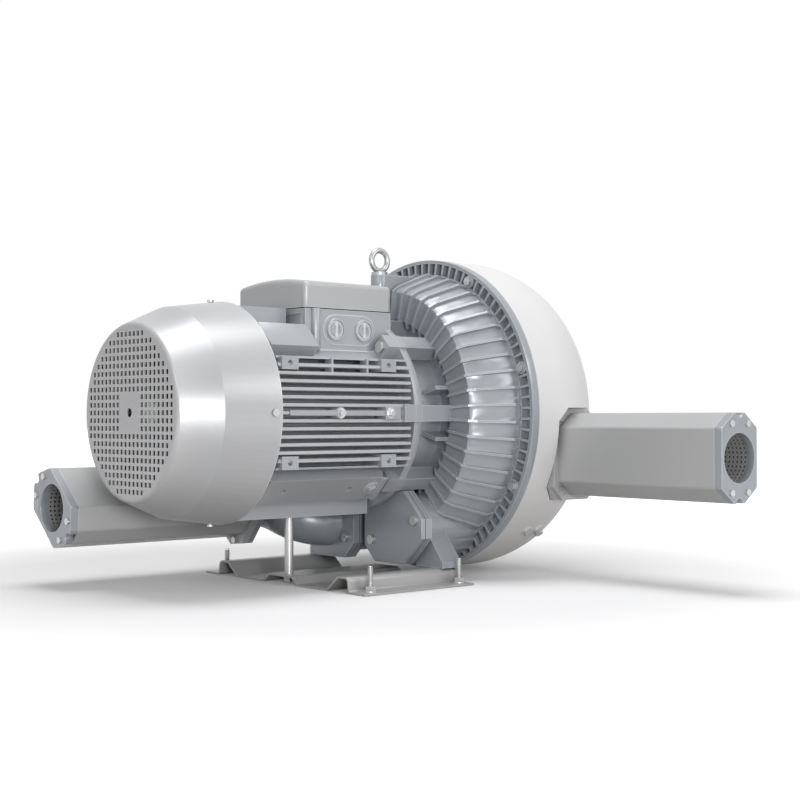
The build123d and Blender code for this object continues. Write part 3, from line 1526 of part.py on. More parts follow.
# Base plate: one bent sheet, its bends along the shaft, under the casing feet and the rod
with BuildPart() as base_plate:
    with BuildSketch(Plane(origin=(-plate_front, 0, 0), x_dir=(0, 1, 0), z_dir=(1, 0, 0))):
        with BuildLine():
            sheet = FilletPolyline(
                (-plate_half_width, 0),
                (-plate_flange_inner, 0),
                (-ridge_outer, ridge_height - plate_sheet),
                (-ridge_inner, ridge_height - plate_sheet),
                (-valley_outer, 0),
                (-plateau_outer, 0),
                (-plateau_half_width, plateau_height - plate_sheet),
                (plateau_half_width, plateau_height - plate_sheet),
                (plateau_outer, 0),
                (valley_outer, 0),
                (ridge_inner, ridge_height - plate_sheet),
                (ridge_outer, ridge_height - plate_sheet),
                (plate_flange_inner, 0),
                (plate_half_width, 0),
                radius=plate_bend,
            )
            offset(sheet, amount=plate_sheet, side=Side.LEFT)
        make_face()
    extrude(amount=plate_front + plate_back)
    with BuildSketch(floor):
        with GridLocations(stud_spacing_x, stud_spacing_y, 2, 2):
            Circle(stud_shank_radius)
        with GridLocations(plate_hole_spacing_x, plate_hole_spacing_y, 2, 2):
            Circle(plate_hole_radius)
        with Locations((rim_from_origin + rod_station, 0)):
            Circle(rod_stud_radius)
        with Locations((rim_from_origin + foot_bolt_station, 0)):
            with GridLocations(0, 2 * foot_offset, 1, 2):
                Circle(casing_bolt_radius)
    extrude(amount=ridge_height, mode=Mode.SUBTRACT)
keep(base_plate, "base_plate")

# Studs that stand in the plate's side flanges: a thread under the nut, thinner above it
with BuildPart() as base_studs:
    with BuildSketch(floor):
        with GridLocations(stud_spacing_x, stud_spacing_y, 2, 2):
            Circle(stud_shank_radius)
    extrude(amount=stud_shoulder)
    with BuildSketch(floor.offset(stud_shoulder)):
        with GridLocations(stud_spacing_x, stud_spacing_y, 2, 2):
            Circle(stud_radius)
    extrude(amount=stud_height - stud_shoulder)
keep(base_studs, "base_studs")

# Nuts and washers of the plate: one pair on each stud and one nut under the support rod
with BuildPart() as base_nuts:
    with BuildSketch(floor.offset(plate_sheet)):
        with GridLocations(stud_spacing_x, stud_spacing_y, 2, 2):
            Circle(washer_radius)
            Circle(stud_shank_radius, mode=Mode.SUBTRACT)
    extrude(amount=washer_thickness)
    with BuildSketch(floor.offset(plate_sheet + washer_thickness)):
        with GridLocations(stud_spacing_x, stud_spacing_y, 2, 2):
            RegularPolygon(stud_nut_radius, 6)
            Circle(stud_shank_radius, mode=Mode.SUBTRACT)
    extrude(amount=stud_nut_height)
    with BuildSketch(floor.offset(plateau_height - plate_sheet)):
        with Locations((rim_from_origin + rod_station, 0)):
            RegularPolygon(m10_head, 6)
            Circle(rod_stud_radius, mode=Mode.SUBTRACT)
    extrude(amount=-rod_nut_height)
keep(base_nuts, "base_nuts")

# Bolts from under the plate's ridges up into the casing feet
with BuildPart() as foot_bolts:
    with BuildSketch(floor.offset(ridge_height - plate_sheet)):
        with Locations((rim_from_origin + foot_bolt_station, 0)):
            with GridLocations(0, 2 * foot_offset, 1, 2):
                RegularPolygon(m8_head, 6)
    extrude(amount=-m8_head_height)
    with BuildSketch(floor.offset(ridge_height - plate_sheet)):
        with Locations((rim_from_origin + foot_bolt_station, 0)):
            with GridLocations(0, 2 * foot_offset, 1, 2):
                Circle(casing_bolt_radius)
    extrude(amount=plate_sheet + foot_bolt_depth)
keep(foot_bolts, "foot_bolts")

# Support rod: a shouldered bar on the plate's plateau, screwed into the pad under the motor
with BuildPart() as support_rod:
    with BuildSketch(floor.offset(plateau_height)):
        with Locations((rim_from_origin + rod_station, 0)):
            Circle(rod_radius)
    extrude(amount=shaft_height - rod_pad_drop + rod_thread_depth - plateau_height)
    with BuildSketch(floor.offset(plateau_height)):
        with Locations((rim_from_origin + rod_station, 0)):
            Circle(rod_stud_radius)
    extrude(amount=rod_floor_gap - plateau_height)
keep(support_rod, "support_rod")
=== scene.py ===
import math

import bmesh
import bpy
from mathutils import Matrix, Vector


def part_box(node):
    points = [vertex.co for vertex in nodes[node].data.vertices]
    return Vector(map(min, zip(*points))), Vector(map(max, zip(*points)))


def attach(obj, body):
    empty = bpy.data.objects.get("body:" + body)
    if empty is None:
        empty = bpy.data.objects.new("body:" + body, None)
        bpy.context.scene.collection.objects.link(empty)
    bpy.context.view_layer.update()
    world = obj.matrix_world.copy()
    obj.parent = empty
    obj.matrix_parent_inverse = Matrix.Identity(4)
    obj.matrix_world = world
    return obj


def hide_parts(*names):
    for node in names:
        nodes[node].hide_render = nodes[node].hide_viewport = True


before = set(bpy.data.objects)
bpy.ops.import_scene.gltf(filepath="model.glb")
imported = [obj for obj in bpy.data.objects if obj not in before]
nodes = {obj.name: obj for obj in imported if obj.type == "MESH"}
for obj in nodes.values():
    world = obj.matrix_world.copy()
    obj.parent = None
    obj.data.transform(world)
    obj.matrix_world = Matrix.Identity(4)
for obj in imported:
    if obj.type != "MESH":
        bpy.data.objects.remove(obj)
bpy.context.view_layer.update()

# The viewpoint: low and near, off the fan cover's corner, level with the shaft.
# Distances are in metres from the middle of the base plate's stud pattern.
camera_data = bpy.data.cameras.new("viewpoint")
camera_data.sensor_width = 36.0
camera_data.lens = 63.2
camera_data.clip_end = 50.0
camera = bpy.data.objects.new("viewpoint", camera_data)
bpy.context.scene.collection.objects.link(camera)
camera.location = (-1.4614, -1.8514, 0.2679)
heading, pitch = 0.859, 0.013
looking = Vector(
    (math.cos(heading) * math.cos(pitch), math.sin(heading) * math.cos(pitch), math.sin(pitch))
)
camera.rotation_mode = "QUATERNION"
camera.rotation_quaternion = looking.to_track_quat("-Z", "Y")
bpy.context.scene.camera = camera


# The studio: a white floor that keeps the blower's soft shadow, a white room, and four large soft
# lamps: one overhead, and three in front, high at the left, high at the right and low.
def new_material(name):
    """A node material, with its node tree and its Principled shader."""
    material = bpy.data.materials.new(name)
    material.use_nodes = True
    tree = material.node_tree
    return material, tree, tree.nodes["Principled BSDF"]


def shader_node(tree, kind, settings=None, **inputs):
    """A node of one kind, with its settings and its inputs set or linked."""
    node = tree.nodes.new(kind)
    for key, value in (settings or {}).items():
        setattr(node, key, value)
    for key, value in inputs.items():
        numbered = key[1:].isdigit()
        socket = node.inputs[int(key[1:]) if numbered else key.replace("_", " ")]
        if isinstance(value, bpy.types.NodeSocket):
            tree.links.new(value, socket)
        else:
            socket.default_value = value
    return node


def seen_directly(tree):
    """A factor of one for rays from the camera, through glass or off a glossy surface."""
    path = shader_node(tree, "ShaderNodeLightPath")
    glossy = shader_node(
        tree,
        "ShaderNodeMath",
        {"operation": "MAXIMUM"},
        i0=path.outputs["Is Glossy Ray"],
        i1=path.outputs["Is Transmission Ray"],
    )
    return shader_node(
        tree,
        "ShaderNodeMath",
        {"operation": "MAXIMUM"},
        i0=path.outputs["Is Camera Ray"],
        i1=glossy.outputs[0],
    )


floor_half = 30
floor_drop = 0.0005
shadow_reach, white_reach = 0.5, 1.5
floor_mesh = bpy.data.meshes.new("floor")
floor_mesh.from_pydata(
    [
        (-floor_half, -floor_half, 0),
        (floor_half, -floor_half, 0),
        (floor_half, floor_half, 0),
        (-floor_half, floor_half, 0),
    ],
    [],
    [(0, 1, 2, 3)],
)
floor = bpy.data.objects.new("floor", floor_mesh)
bpy.context.scene.collection.objects.link(floor)
floor.location.z = -floor_drop
floor_material, tree, principled = new_material("studio floor")
tree.nodes.remove(principled)
seen = seen_directly(tree)
matt = shader_node(tree, "ShaderNodeBsdfDiffuse", Color=(0.42, 0.40, 0.38, 1))
white = shader_node(tree, "ShaderNodeBsdfDiffuse", Color=(0.85, 0.85, 0.86, 1))
where = shader_node(tree, "ShaderNodeNewGeometry")
reach = shader_node(
    tree, "ShaderNodeVectorMath", {"operation": "LENGTH"}, i0=where.outputs["Position"]
)
glow = shader_node(
    tree,
    "ShaderNodeMapRange",
    {"interpolation_type": "SMOOTHSTEP"},
    i0=reach.outputs["Value"],
    i1=shadow_reach,
    i2=white_reach,
    i3=0.10,
    i4=1.0,
)
lift = shader_node(
    tree, "ShaderNodeEmission", Color=(1, 1, 1, 1), Strength=glow.outputs["Result"]
)
both = shader_node(tree, "ShaderNodeAddShader", i0=white.outputs[0], i1=lift.outputs[0])
mix = shader_node(
    tree, "ShaderNodeMixShader", i0=seen.outputs[0], i1=matt.outputs[0], i2=both.outputs[0]
)
tree.links.new(mix.outputs[0], tree.nodes["Material Output"].inputs["Surface"])
floor_mesh.materials.append(floor_material)

world = bpy.data.worlds.new("studio")
bpy.context.scene.world = world
world.use_nodes = True
tree = world.node_tree
background = tree.nodes["Background"]
background.inputs["Color"].default_value = (1, 1, 1, 1)
seen = seen_directly(tree)
strength = shader_node(tree, "ShaderNodeMapRange", i0=seen.outputs[0], i3=0.34, i4=1.0)
tree.links.new(strength.outputs[0], background.inputs["Strength"])
lamp_target = Vector((0, 0, 0.25))
for name, place, size, power in (
    ("overhead", (-0.1, -0.2, 2.4), 1.4, 28.0),
    ("left_front", (-2.6, -1.4, 1.7), 1.0, 9.0),
    ("right_front", (1.2, -2.8, 1.6), 1.0, 13.0),
    ("low_front", (-1.3, -2.7, 0.45), 0.9, 37.0),
):
    lamp = bpy.data.lights.new(name, "AREA")
    lamp.shape = "DISK"
    lamp.size = size
    lamp.energy = power
    light = bpy.data.objects.new(name, lamp)
    bpy.context.scene.collection.objects.link(light)
    light.location = place
    light.rotation_mode = "QUATERNION"
    light.rotation_quaternion = (lamp_target - Vector(place)).to_track_quat("-Z", "Y")
bpy.context.scene.view_settings.view_transform = "Standard"


# Base plate: pressed steel sheet with rounded ridges, sprayed with silver-grey paint after
# bending. Every finish on the blower is this one coat effect with values of its own, and each
# also has painted shade in its recesses and a painted highlight on its edges.
def effect_group(name, sockets):
    """An empty shader node group with named inputs and outputs."""
    group = bpy.data.node_groups.new(name, "ShaderNodeTree")
    for label, way, kind, value in sockets:
        socket = group.interface.new_socket(label, in_out=way, socket_type=kind)
        if value is not None:
            socket.default_value = value
    return group, group.nodes.new("NodeGroupInput"), group.nodes.new("NodeGroupOutput")


coat_and_painted_light, given, result = effect_group(
    "sprayed or worked surface with painted shade and highlight",
    [
        ("Paint", "INPUT", "NodeSocketColor", (0.6, 0.6, 0.6, 1)),
        ("Painted Shade", "INPUT", "NodeSocketColor", (0.3, 0.3, 0.3, 1)),
        ("Painted Highlight", "INPUT", "NodeSocketColor", (0.7, 0.7, 0.7, 1)),
        ("Grain Size", "INPUT", "NodeSocketFloat", 900.0),
        ("Grain Depth", "INPUT", "NodeSocketFloat", 0.2),
        ("Unevenness", "INPUT", "NodeSocketFloat", 0.06),
        ("Gloss", "INPUT", "NodeSocketFloat", 0.4),
        ("Color", "OUTPUT", "NodeSocketColor", None),
        ("Roughness", "OUTPUT", "NodeSocketFloat", None),
        ("Normal", "OUTPUT", "NodeSocketVector", None),
    ],
)
# How far the painted shade in recesses and the painted highlight on edges reach.
painted_shade_reach, painted_highlight_reach = 0.028, 0.0022
fine_rise, wide_rise = 0.0005, 0.0015
place = shader_node(coat_and_painted_light, "ShaderNodeTexCoord")
cloud = shader_node(
    coat_and_painted_light, "ShaderNodeTexNoise", Vector=place.outputs["Object"], Scale=9.0, Detail=3.0
)
flake = shader_node(
    coat_and_painted_light,
    "ShaderNodeTexNoise",
    Vector=place.outputs["Object"],
    Scale=given.outputs["Grain Size"],
    Detail=2.0,
)
swell = shader_node(
    coat_and_painted_light, "ShaderNodeTexNoise", Vector=place.outputs["Object"], Scale=70.0, Detail=2.0
)
cloud_shift = shader_node(
    coat_and_painted_light, "ShaderNodeMath", {"operation": "SUBTRACT"}, i0=cloud.outputs[0], i1=0.5
)
flake_shift = shader_node(
    coat_and_painted_light, "ShaderNodeMath", {"operation": "SUBTRACT"}, i0=flake.outputs[0], i1=0.5
)
summed = shader_node(
    coat_and_painted_light,
    "ShaderNodeMath",
    {"operation": "ADD"},
    i0=cloud_shift.outputs[0],
    i1=flake_shift.outputs[0],
)
scaled = shader_node(
    coat_and_painted_light,
    "ShaderNodeMath",
    {"operation": "MULTIPLY_ADD"},
    i0=summed.outputs[0],
    i1=given.outputs["Unevenness"],
    i2=1.0,
)
# Painted shade: the colour turns towards the recess tone where nearby surfaces close the point in.
open_air = shader_node(
    coat_and_painted_light, "ShaderNodeAmbientOcclusion", {"samples": 6}, Distance=painted_shade_reach
)
painted_shade_mask = shader_node(
    coat_and_painted_light,
    "ShaderNodeMapRange",
    i0=open_air.outputs["AO"],
    i1=0.15,
    i2=0.8,
    i3=1.0,
    i4=0.0,
)
shaded = shader_node(
    coat_and_painted_light,
    "ShaderNodeMix",
    {"data_type": "RGBA"},
    i0=painted_shade_mask.outputs[0],
    i6=given.outputs["Paint"],
    i7=given.outputs["Painted Shade"],
)
# Painted highlight: the colour turns lighter, towards the edge tone, on convex edges.
inward = shader_node(
    coat_and_painted_light, "ShaderNodeAmbientOcclusion", {"samples": 6, "inside": True}, Distance=painted_highlight_reach
)
painted_highlight_mask = shader_node(
    coat_and_painted_light, "ShaderNodeMapRange", i0=inward.outputs["AO"], i1=0.35, i2=0.85, i3=1.0, i4=0.0
)
highlighted = shader_node(
    coat_and_painted_light,
    "ShaderNodeMix",
    {"data_type": "RGBA"},
    i0=painted_highlight_mask.outputs[0],
    i6=shaded.outputs[2],
    i7=given.outputs["Painted Highlight"],
)
toned = shader_node(
    coat_and_painted_light,
    "ShaderNodeVectorMath",
    {"operation": "SCALE"},
    i0=highlighted.outputs[2],
    Scale=scaled.outputs[0],
)
rough = shader_node(
    coat_and_painted_light,
    "ShaderNodeMath",
    {"operation": "MULTIPLY_ADD"},
    i0=cloud_shift.outputs[0],
    i1=0.14,
    i2=given.outputs["Gloss"],
)
fine_bump = shader_node(
    coat_and_painted_light,
    "ShaderNodeBump",
    Height=flake.outputs[0],
    Strength=given.outputs["Grain Depth"],
    Distance=fine_rise,
)
wide_bump = shader_node(
    coat_and_painted_light,
    "ShaderNodeBump",
    Height=swell.outputs[0],
    Strength=given.outputs["Grain Depth"],
    Distance=wide_rise,
    Normal=fine_bump.outputs[0],
)
coat_and_painted_light.links.new(toned.outputs[0], result.inputs["Color"])
coat_and_painted_light.links.new(rough.outputs[0], result.inputs["Roughness"])
coat_and_painted_light.links.new(wide_bump.outputs[0], result.inputs["Normal"])


def finish_with_painted_light(name, paint, painted_shade, edge, metallic, gloss, grain_size, grain_depth, unevenness):
    """A material with its own grain and tone, painted shade in recesses and a painted highlight on
    edges.
    """
    material, tree, principled = new_material(name)
    surface = tree.nodes.new("ShaderNodeGroup")
    surface.node_tree = coat_and_painted_light
    surface.inputs["Paint"].default_value = (*paint, 1)
    surface.inputs["Painted Shade"].default_value = (*painted_shade, 1)
    surface.inputs["Painted Highlight"].default_value = (*edge, 1)
    surface.inputs["Grain Size"].default_value = grain_size
    surface.inputs["Grain Depth"].default_value = grain_depth
    surface.inputs["Unevenness"].default_value = unevenness
    surface.inputs["Gloss"].default_value = gloss
    tree.links.new(surface.outputs["Color"], principled.inputs["Base Color"])
    tree.links.new(surface.outputs["Roughness"], principled.inputs["Roughness"])
    tree.links.new(surface.outputs["Normal"], principled.inputs["Normal"])
    principled.inputs["Metallic"].default_value = metallic
    return material


def dress(material, *names):
    """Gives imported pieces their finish."""
    for name in names:
        mesh = nodes[name].data
        mesh.materials.clear()
        mesh.materials.append(material)


weld_reach = 0.00002
level_angle = math.radians(0.8)
sharp_angle = math.radians(32.0)


def round_edges(name, width):
    """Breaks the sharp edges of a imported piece, as casting, bending and paint do."""
    weld = nodes[name].modifiers.new("joined", "WELD")
    weld.merge_threshold = weld_reach
    flat = nodes[name].modifiers.new("whole faces", "DECIMATE")
    flat.decimate_type = "DISSOLVE"
    flat.angle_limit = level_angle
    bevel = nodes[name].modifiers.new("broken edges", "BEVEL")
    bevel.width = width
    bevel.segments = 2
    bevel.limit_method = "ANGLE"
    bevel.angle_limit = sharp_angle
    bevel.harden_normals = True


plate_paint = finish_with_painted_light(
    "silver paint on pressed sheet",
    paint=(0.40, 0.40, 0.40), painted_shade=(0.20, 0.20, 0.195), edge=(0.55, 0.55, 0.55),
    metallic=0.15, gloss=0.38, grain_size=1500.0, grain_depth=0.06, unevenness=0.10,
)
dress(plate_paint, "base_plate")
round_edges("base_plate", 0.0005)

# Studs in the plate: zinc plated steel rod with a rolled thread along its whole length, a nut
# and a washer at the foot.
zinc = finish_with_painted_light(
    "zinc plated steel",
    paint=(0.55, 0.55, 0.54), painted_shade=(0.28, 0.28, 0.28), edge=(0.7, 0.7, 0.7),
    metallic=0.7, gloss=0.3, grain_size=1200.0, grain_depth=0.1, unevenness=0.15,
)
dress(
    zinc,
    "base_studs", "base_nuts", "foot_bolts", "support_rod", "casing_bolts", "port_bolts",
    "silencer_cap_screws", "silencer_flange_bolts", "terminal_lid_screws", "fan_cover_screws",
    "flange_bolts", "earth_screw", "rear_shield_screws", "stage_bolts", "shaft_nut",
)


def new_piece(name, points, faces, material):
    """A flat-shaded mesh piece with its finish."""
    mesh = bpy.data.meshes.new(name)
    mesh.from_pydata(points, [], faces)
    mesh.validate()
    mesh.shade_flat()
    mesh.materials.append(material)
    piece = bpy.data.objects.new(name, mesh)
    bpy.context.scene.collection.objects.link(piece)
    return piece


def threaded_rod(centre, foot, top, crest, root, pitch, sides):
    """Points and faces of an upright rod with a helical thread and a flat end at each side."""
    profile = ((crest, 0.0), (crest, 0.15), (root, 0.5), (root, 0.65))
    turns = int((top - foot) / pitch) - 1
    steps = turns * sides
    points, faces = [], []
    for step in range(steps + 1):
        angle = 2 * math.pi * step / sides
        height = foot + pitch * step / sides
        for radius, rise in profile:
            points.append(
                (
                    centre[0] + radius * math.cos(angle),
                    centre[1] + radius * math.sin(angle),
                    height + rise * pitch,
                )
            )
    for step in range(steps):
        here, ahead = 4 * step, 4 * step + 4
        for row in range(3):
            faces.append((here + row, ahead + row, ahead + row + 1, here + row + 1))
        if step + sides < steps:
            above, above_ahead = here + 4 * sides, ahead + 4 * sides
            faces.append((here + 3, ahead + 3, above_ahead, above))
    for ends in ((foot, foot + pitch), (top, top - pitch)):
        start = len(points)
        for height in ends:
            for side in range(sides):
                angle = 2 * math.pi * side / sides
                points.append(
                    (
                        centre[0] + root * math.cos(angle),
                        centre[1] + root * math.sin(angle),
                        height,
                    )
                )
        for side in range(sides):
            after = (side + 1) % sides
            faces.append((start + side, start + after, start + sides + after, start + sides + side))
        faces.append(tuple(range(start, start + sides)))
    return points, faces


stud_low, stud_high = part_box("base_studs")
stud_radius = 0.0045
stud_foot_radius = 0.005
thread_pitch = 0.0015
thread_depth = 0.0007
thread_sides = 16
points, faces = [], []
for x in (stud_low[0] + stud_foot_radius, stud_high[0] - stud_foot_radius):
    for y in (stud_low[1] + stud_foot_radius, stud_high[1] - stud_foot_radius):
        rod_points, rod_faces = threaded_rod(
            (x, y), stud_low[2], stud_high[2],
            stud_radius, stud_radius - thread_depth, thread_pitch, thread_sides,
        )
        first = len(points)
        points += rod_points
        faces += [tuple(first + corner for corner in face) for face in rod_faces]
studs = new_piece("threaded_base_studs", points, faces, zinc)
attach(studs, "housing")
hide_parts("base_studs")

# Casings: sand cast aluminium, fettled and sprayed silver-grey. The ribs catch the light on
# their rounded edges, which also carry a painted highlight, and painted shade lies between them.
cast_paint = finish_with_painted_light(
    "silver paint on castings",
    paint=(0.34, 0.362, 0.388), painted_shade=(0.30, 0.322, 0.35), edge=(0.68, 0.70, 0.725),
    metallic=0.22, gloss=0.30, grain_size=800.0, grain_depth=0.08, unevenness=0.12,
)
dress(cast_paint, "front_casing", "blank_port_cover", "inlet_elbow")
round_edges("front_casing", 0.0012)
round_edges("blank_port_cover", 0.001)

# Rear cover: a spun bowl, filled, rubbed smooth and sprayed in a paler, silkier coat.
bowl_paint = finish_with_painted_light(
    "pale silver paint on the bowl",
    paint=(0.72, 0.72, 0.725), painted_shade=(0.45, 0.45, 0.45), edge=(0.76, 0.76, 0.765),
    metallic=0.08, gloss=0.36, grain_size=1800.0, grain_depth=0.04, unevenness=0.04,
)
dress(bowl_paint, "rear_cover")

# Impellers and inner casings: bare cast aluminium with machined faces, hidden in use.
raw_cast = finish_with_painted_light(
    "cast aluminium",
    paint=(0.6, 0.61, 0.62), painted_shade=(0.3, 0.3, 0.3), edge=(0.75, 0.75, 0.76),
    metallic=0.8, gloss=0.42, grain_size=800.0, grain_depth=0.3, unevenness=0.15,
)
dress(raw_cast, "impeller_stage_1", "impeller_stage_2", "middle_casing", "rear_casing")

# Silencers: extruded and welded aluminium boxes with cast end pieces, sprayed after assembly.
silencer_paint = finish_with_painted_light(
    "silver paint on silencers",
    paint=(0.44, 0.445, 0.45), painted_shade=(0.24, 0.24, 0.24), edge=(0.60, 0.60, 0.61),
    metallic=0.12, gloss=0.36, grain_size=1700.0, grain_depth=0.05, unevenness=0.06,
)
for side in ("inlet", "outlet"):
    dress(silencer_paint, f"{side}_silencer_body", f"{side}_silencer_flange")
    dress(cast_paint, f"{side}_silencer_end_cap")
    round_edges(f"{side}_silencer_flange", 0.001)
    round_edges(f"{side}_silencer_end_cap", 0.001)

# Liners: tubes rolled from thin perforated sheet, rows of round holes a few millimetres apart,
# with the dark felt behind them.
liner_sheet = finish_with_painted_light(
    "perforated sheet",
    paint=(0.45, 0.46, 0.47), painted_shade=(0.25, 0.25, 0.25), edge=(0.6, 0.6, 0.6),
    metallic=0.6, gloss=0.34, grain_size=1500.0, grain_depth=0.05, unevenness=0.1,
)
felt = finish_with_painted_light(
    "felt",
    paint=(0.05, 0.05, 0.05), painted_shade=(0.02, 0.02, 0.02), edge=(0.06, 0.06, 0.06),
    metallic=0.0, gloss=0.95, grain_size=500.0, grain_depth=1.0, unevenness=0.5,
)
dress(felt, "inlet_silencer_absorber", "outlet_silencer_absorber")


def perforated_tube(low, high, along, wall, hole_radius, pitch):
    """Points and faces of a tube with rows of round holes, that fills a box along one axis."""
    across = [axis for axis in range(3) if axis != along]
    middle = [(low[axis] + high[axis]) / 2 for axis in range(3)]
    outer = (high[across[0]] - low[across[0]]) / 2
    columns = int(2 * math.pi * outer / pitch)
    rows = int((high[along] - low[along]) / pitch)
    row_height = (high[along] - low[along]) / rows
    column_angle = 2 * math.pi / columns
    hole_angle = hole_radius / outer
    full_turn = 2 * math.pi
    points, faces, known = [], [], {}

    def point(turn, length, radius):
        """The number of the point at a turn, length and radius, made when it is first asked for."""
        key = (round(turn % full_turn, 6) % round(full_turn, 6), round(length, 6), radius)
        if key not in known:
            place = list(middle)
            place[across[0]] += radius * math.cos(turn)
            place[across[1]] += radius * math.sin(turn)
            place[along] = low[along] + length
            known[key] = len(points)
            points.append(tuple(place))
        return known[key]

    for row in range(rows):
        for column in range(columns):
            turn, length = column * column_angle, (row + 0.5) * row_height
            half_turn, half_length = column_angle / 2, row_height / 2
            rim = [
                (-half_turn, -half_length), (0, -half_length), (half_turn, -half_length),
                (half_turn, 0), (half_turn, half_length), (0, half_length),
                (-half_turn, half_length), (-half_turn, 0),
            ]
            hole = [
                (hole_angle * math.cos(number * math.pi / 4 - 0.75 * math.pi),
                 hole_radius * math.sin(number * math.pi / 4 - 0.75 * math.pi))
                for number in range(8)
            ]
            for radius, flip in ((outer, False), (outer - wall, True)):
                ring = [point(turn + a, length + b, radius) for a, b in rim]
                eye = [point(turn + a, length + b, radius) for a, b in hole]
                for number in range(8):
                    after = (number + 1) % 8
                    face = (ring[number], ring[after], eye[after], eye[number])
                    faces.append(face[::-1] if flip else face)
            inner_eye = [point(turn + a, length + b, outer - wall) for a, b in hole]
            outer_eye = [point(turn + a, length + b, outer) for a, b in hole]
            for number in range(8):
                after = (number + 1) % 8
                faces.append(
                    (outer_eye[number], outer_eye[after], inner_eye[after], inner_eye[number])
                )
    for length, flip in ((0.0, False), (high[along] - low[along], True)):
        for column in range(columns):
            for start in (column - 0.5, column):
                a, b = start * column_angle, (start + 0.5) * column_angle
                face = (
                    point(a, length, outer), point(a, length, outer - wall),
                    point(b, length, outer - wall), point(b, length, outer),
                )
                faces.append(face[::-1] if flip else face)
    return points, faces


liner_wall = 0.0012
liner_hole_radius = 0.0021
liner_hole_pitch = 0.0072
for side, along in (("inlet", 0), ("outlet", 1)):
    liner_low, liner_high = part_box(f"{side}_silencer_liner")
    points, faces = perforated_tube(
        liner_low, liner_high, along, liner_wall, liner_hole_radius, liner_hole_pitch
    )
    liner = new_piece(f"perforated_{side}_liner", points, faces, liner_sheet)
    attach(liner, "housing")
    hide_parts(f"{side}_silencer_liner")

# Motor: a cast aluminium frame and end shields, sprayed with the casings.
motor_paint = finish_with_painted_light(
    "silver paint on the motor",
    paint=(0.375, 0.392, 0.412), painted_shade=(0.365, 0.38, 0.40), edge=(0.47, 0.485, 0.505),
    metallic=0.15, gloss=0.32, grain_size=900.0, grain_depth=0.2, unevenness=0.12,
)
dress(motor_paint, "motor_frame", "front_end_shield", "rear_end_shield")
round_edges("motor_frame", 0.0007)
round_edges("front_end_shield", 0.001)
shaft_height = 0.276
washer_share, corner_share = 0.86, 0.577
washer_rise, head_start, head_rise = 0.0016, 0.0014, 0.0058


def block(low, high, bevel, turn=0.0):
    """Points and faces of a box with broken edges, turned about the shaft."""
    shape = bmesh.new()
    bmesh.ops.create_cube(shape, size=1.0)
    for corner in shape.verts:
        for axis in range(3):
            corner.co[axis] = (low[axis] + high[axis]) / 2 + corner.co[axis] * (
                high[axis] - low[axis]
            )
    bmesh.ops.bevel(
        shape, geom=shape.edges[:], offset=bevel, segments=2, profile=0.6, affect="EDGES"
    )
    return turned(shape, turn)


def hexagon_bolt(place, across_flats, turn=0.0):
    """Points and faces of a hexagon head on its washer, standing on a face that looks along -Y."""
    x, y, z = place
    shape = bmesh.new()
    for sides, radius, start, rise, broken in (
        (28, across_flats * washer_share, 0.0, washer_rise, 0.0004),
        (6, across_flats * corner_share, head_start, head_rise, 0.0009),
    ):
        ring = bmesh.ops.create_cone(
            shape, cap_ends=True, segments=sides, radius1=radius, radius2=radius, depth=rise,
            matrix=Matrix.Translation((x, y - start - rise / 2, z))
            @ Matrix.Rotation(math.radians(90), 4, "X"),
        )["verts"]
        outer = [
            side for side in {edge for corner in ring for edge in corner.link_edges}
            if all(corner.co.y < y - start - rise * 0.9 for corner in side.verts)
        ]
        bmesh.ops.bevel(shape, geom=outer, offset=broken, segments=1, affect="EDGES")
    return turned(shape, turn)


def turned(shape, turn):
    """A shape turned about the shaft's line, as points and faces."""
    about = Matrix.Translation((0, 0, shaft_height)) @ Matrix.Rotation(turn, 4, "X")
    shape.transform(about @ Matrix.Translation((0, 0, -shaft_height)))
    bmesh.ops.recalc_face_normals(shape, faces=shape.faces[:])
    shape.verts.index_update()
    points = [tuple(corner.co) for corner in shape.verts]
    faces = [tuple(corner.index for corner in face.verts) for face in shape.faces]
    shape.free()
    return points, faces


def joined(*shapes):
    """Several shapes as one list of points and one of faces."""
    points, faces = [], []
    for shape_points, shape_faces in shapes:
        first = len(points)
        points += shape_points
        faces += [tuple(first + corner for corner in face) for face in shape_faces]
    return points, faces


# Foot pads: cast with the motor frame at 45 degrees below its sides. Each ends in a thicker block
# with a lip and a painted hexagon bolt, where a foot can be fixed.
pad_reach = 0.170
pad_half_width = 0.025
pad_depth = 0.024
pad_edge = 0.0012
pad_front = -0.041
block_front = -0.009
lip_length, lip_rise = 0.010, 0.003
pad_bolt_place = -0.030
pad_bolt_flats = 0.0165
quarter = math.radians(45)
pad_ends = []
for turn in (quarter, -quarter):
    for low_x, high_x, top in (
        (pad_front, block_front, pad_reach),
        (block_front - lip_length, block_front, pad_reach + lip_rise),
    ):
        pad_ends.append(
            block(
                (low_x, -pad_half_width, shaft_height - top),
                (high_x, pad_half_width, shaft_height - pad_reach + pad_depth),
                pad_edge,
                -turn,
            )
        )
foot_pad_ends = new_piece("foot_pad_end_blocks", *joined(*pad_ends), motor_paint)
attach(foot_pad_ends, "housing")

pad_bolts = [
    hexagon_bolt((pad_bolt_place, -pad_reach, shaft_height), pad_bolt_flats, turn)
    for turn in (quarter, math.pi - quarter)
]
foot_pad_bolts = new_piece("foot_pad_bolts", *joined(*pad_bolts), motor_paint)
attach(foot_pad_bolts, "housing")


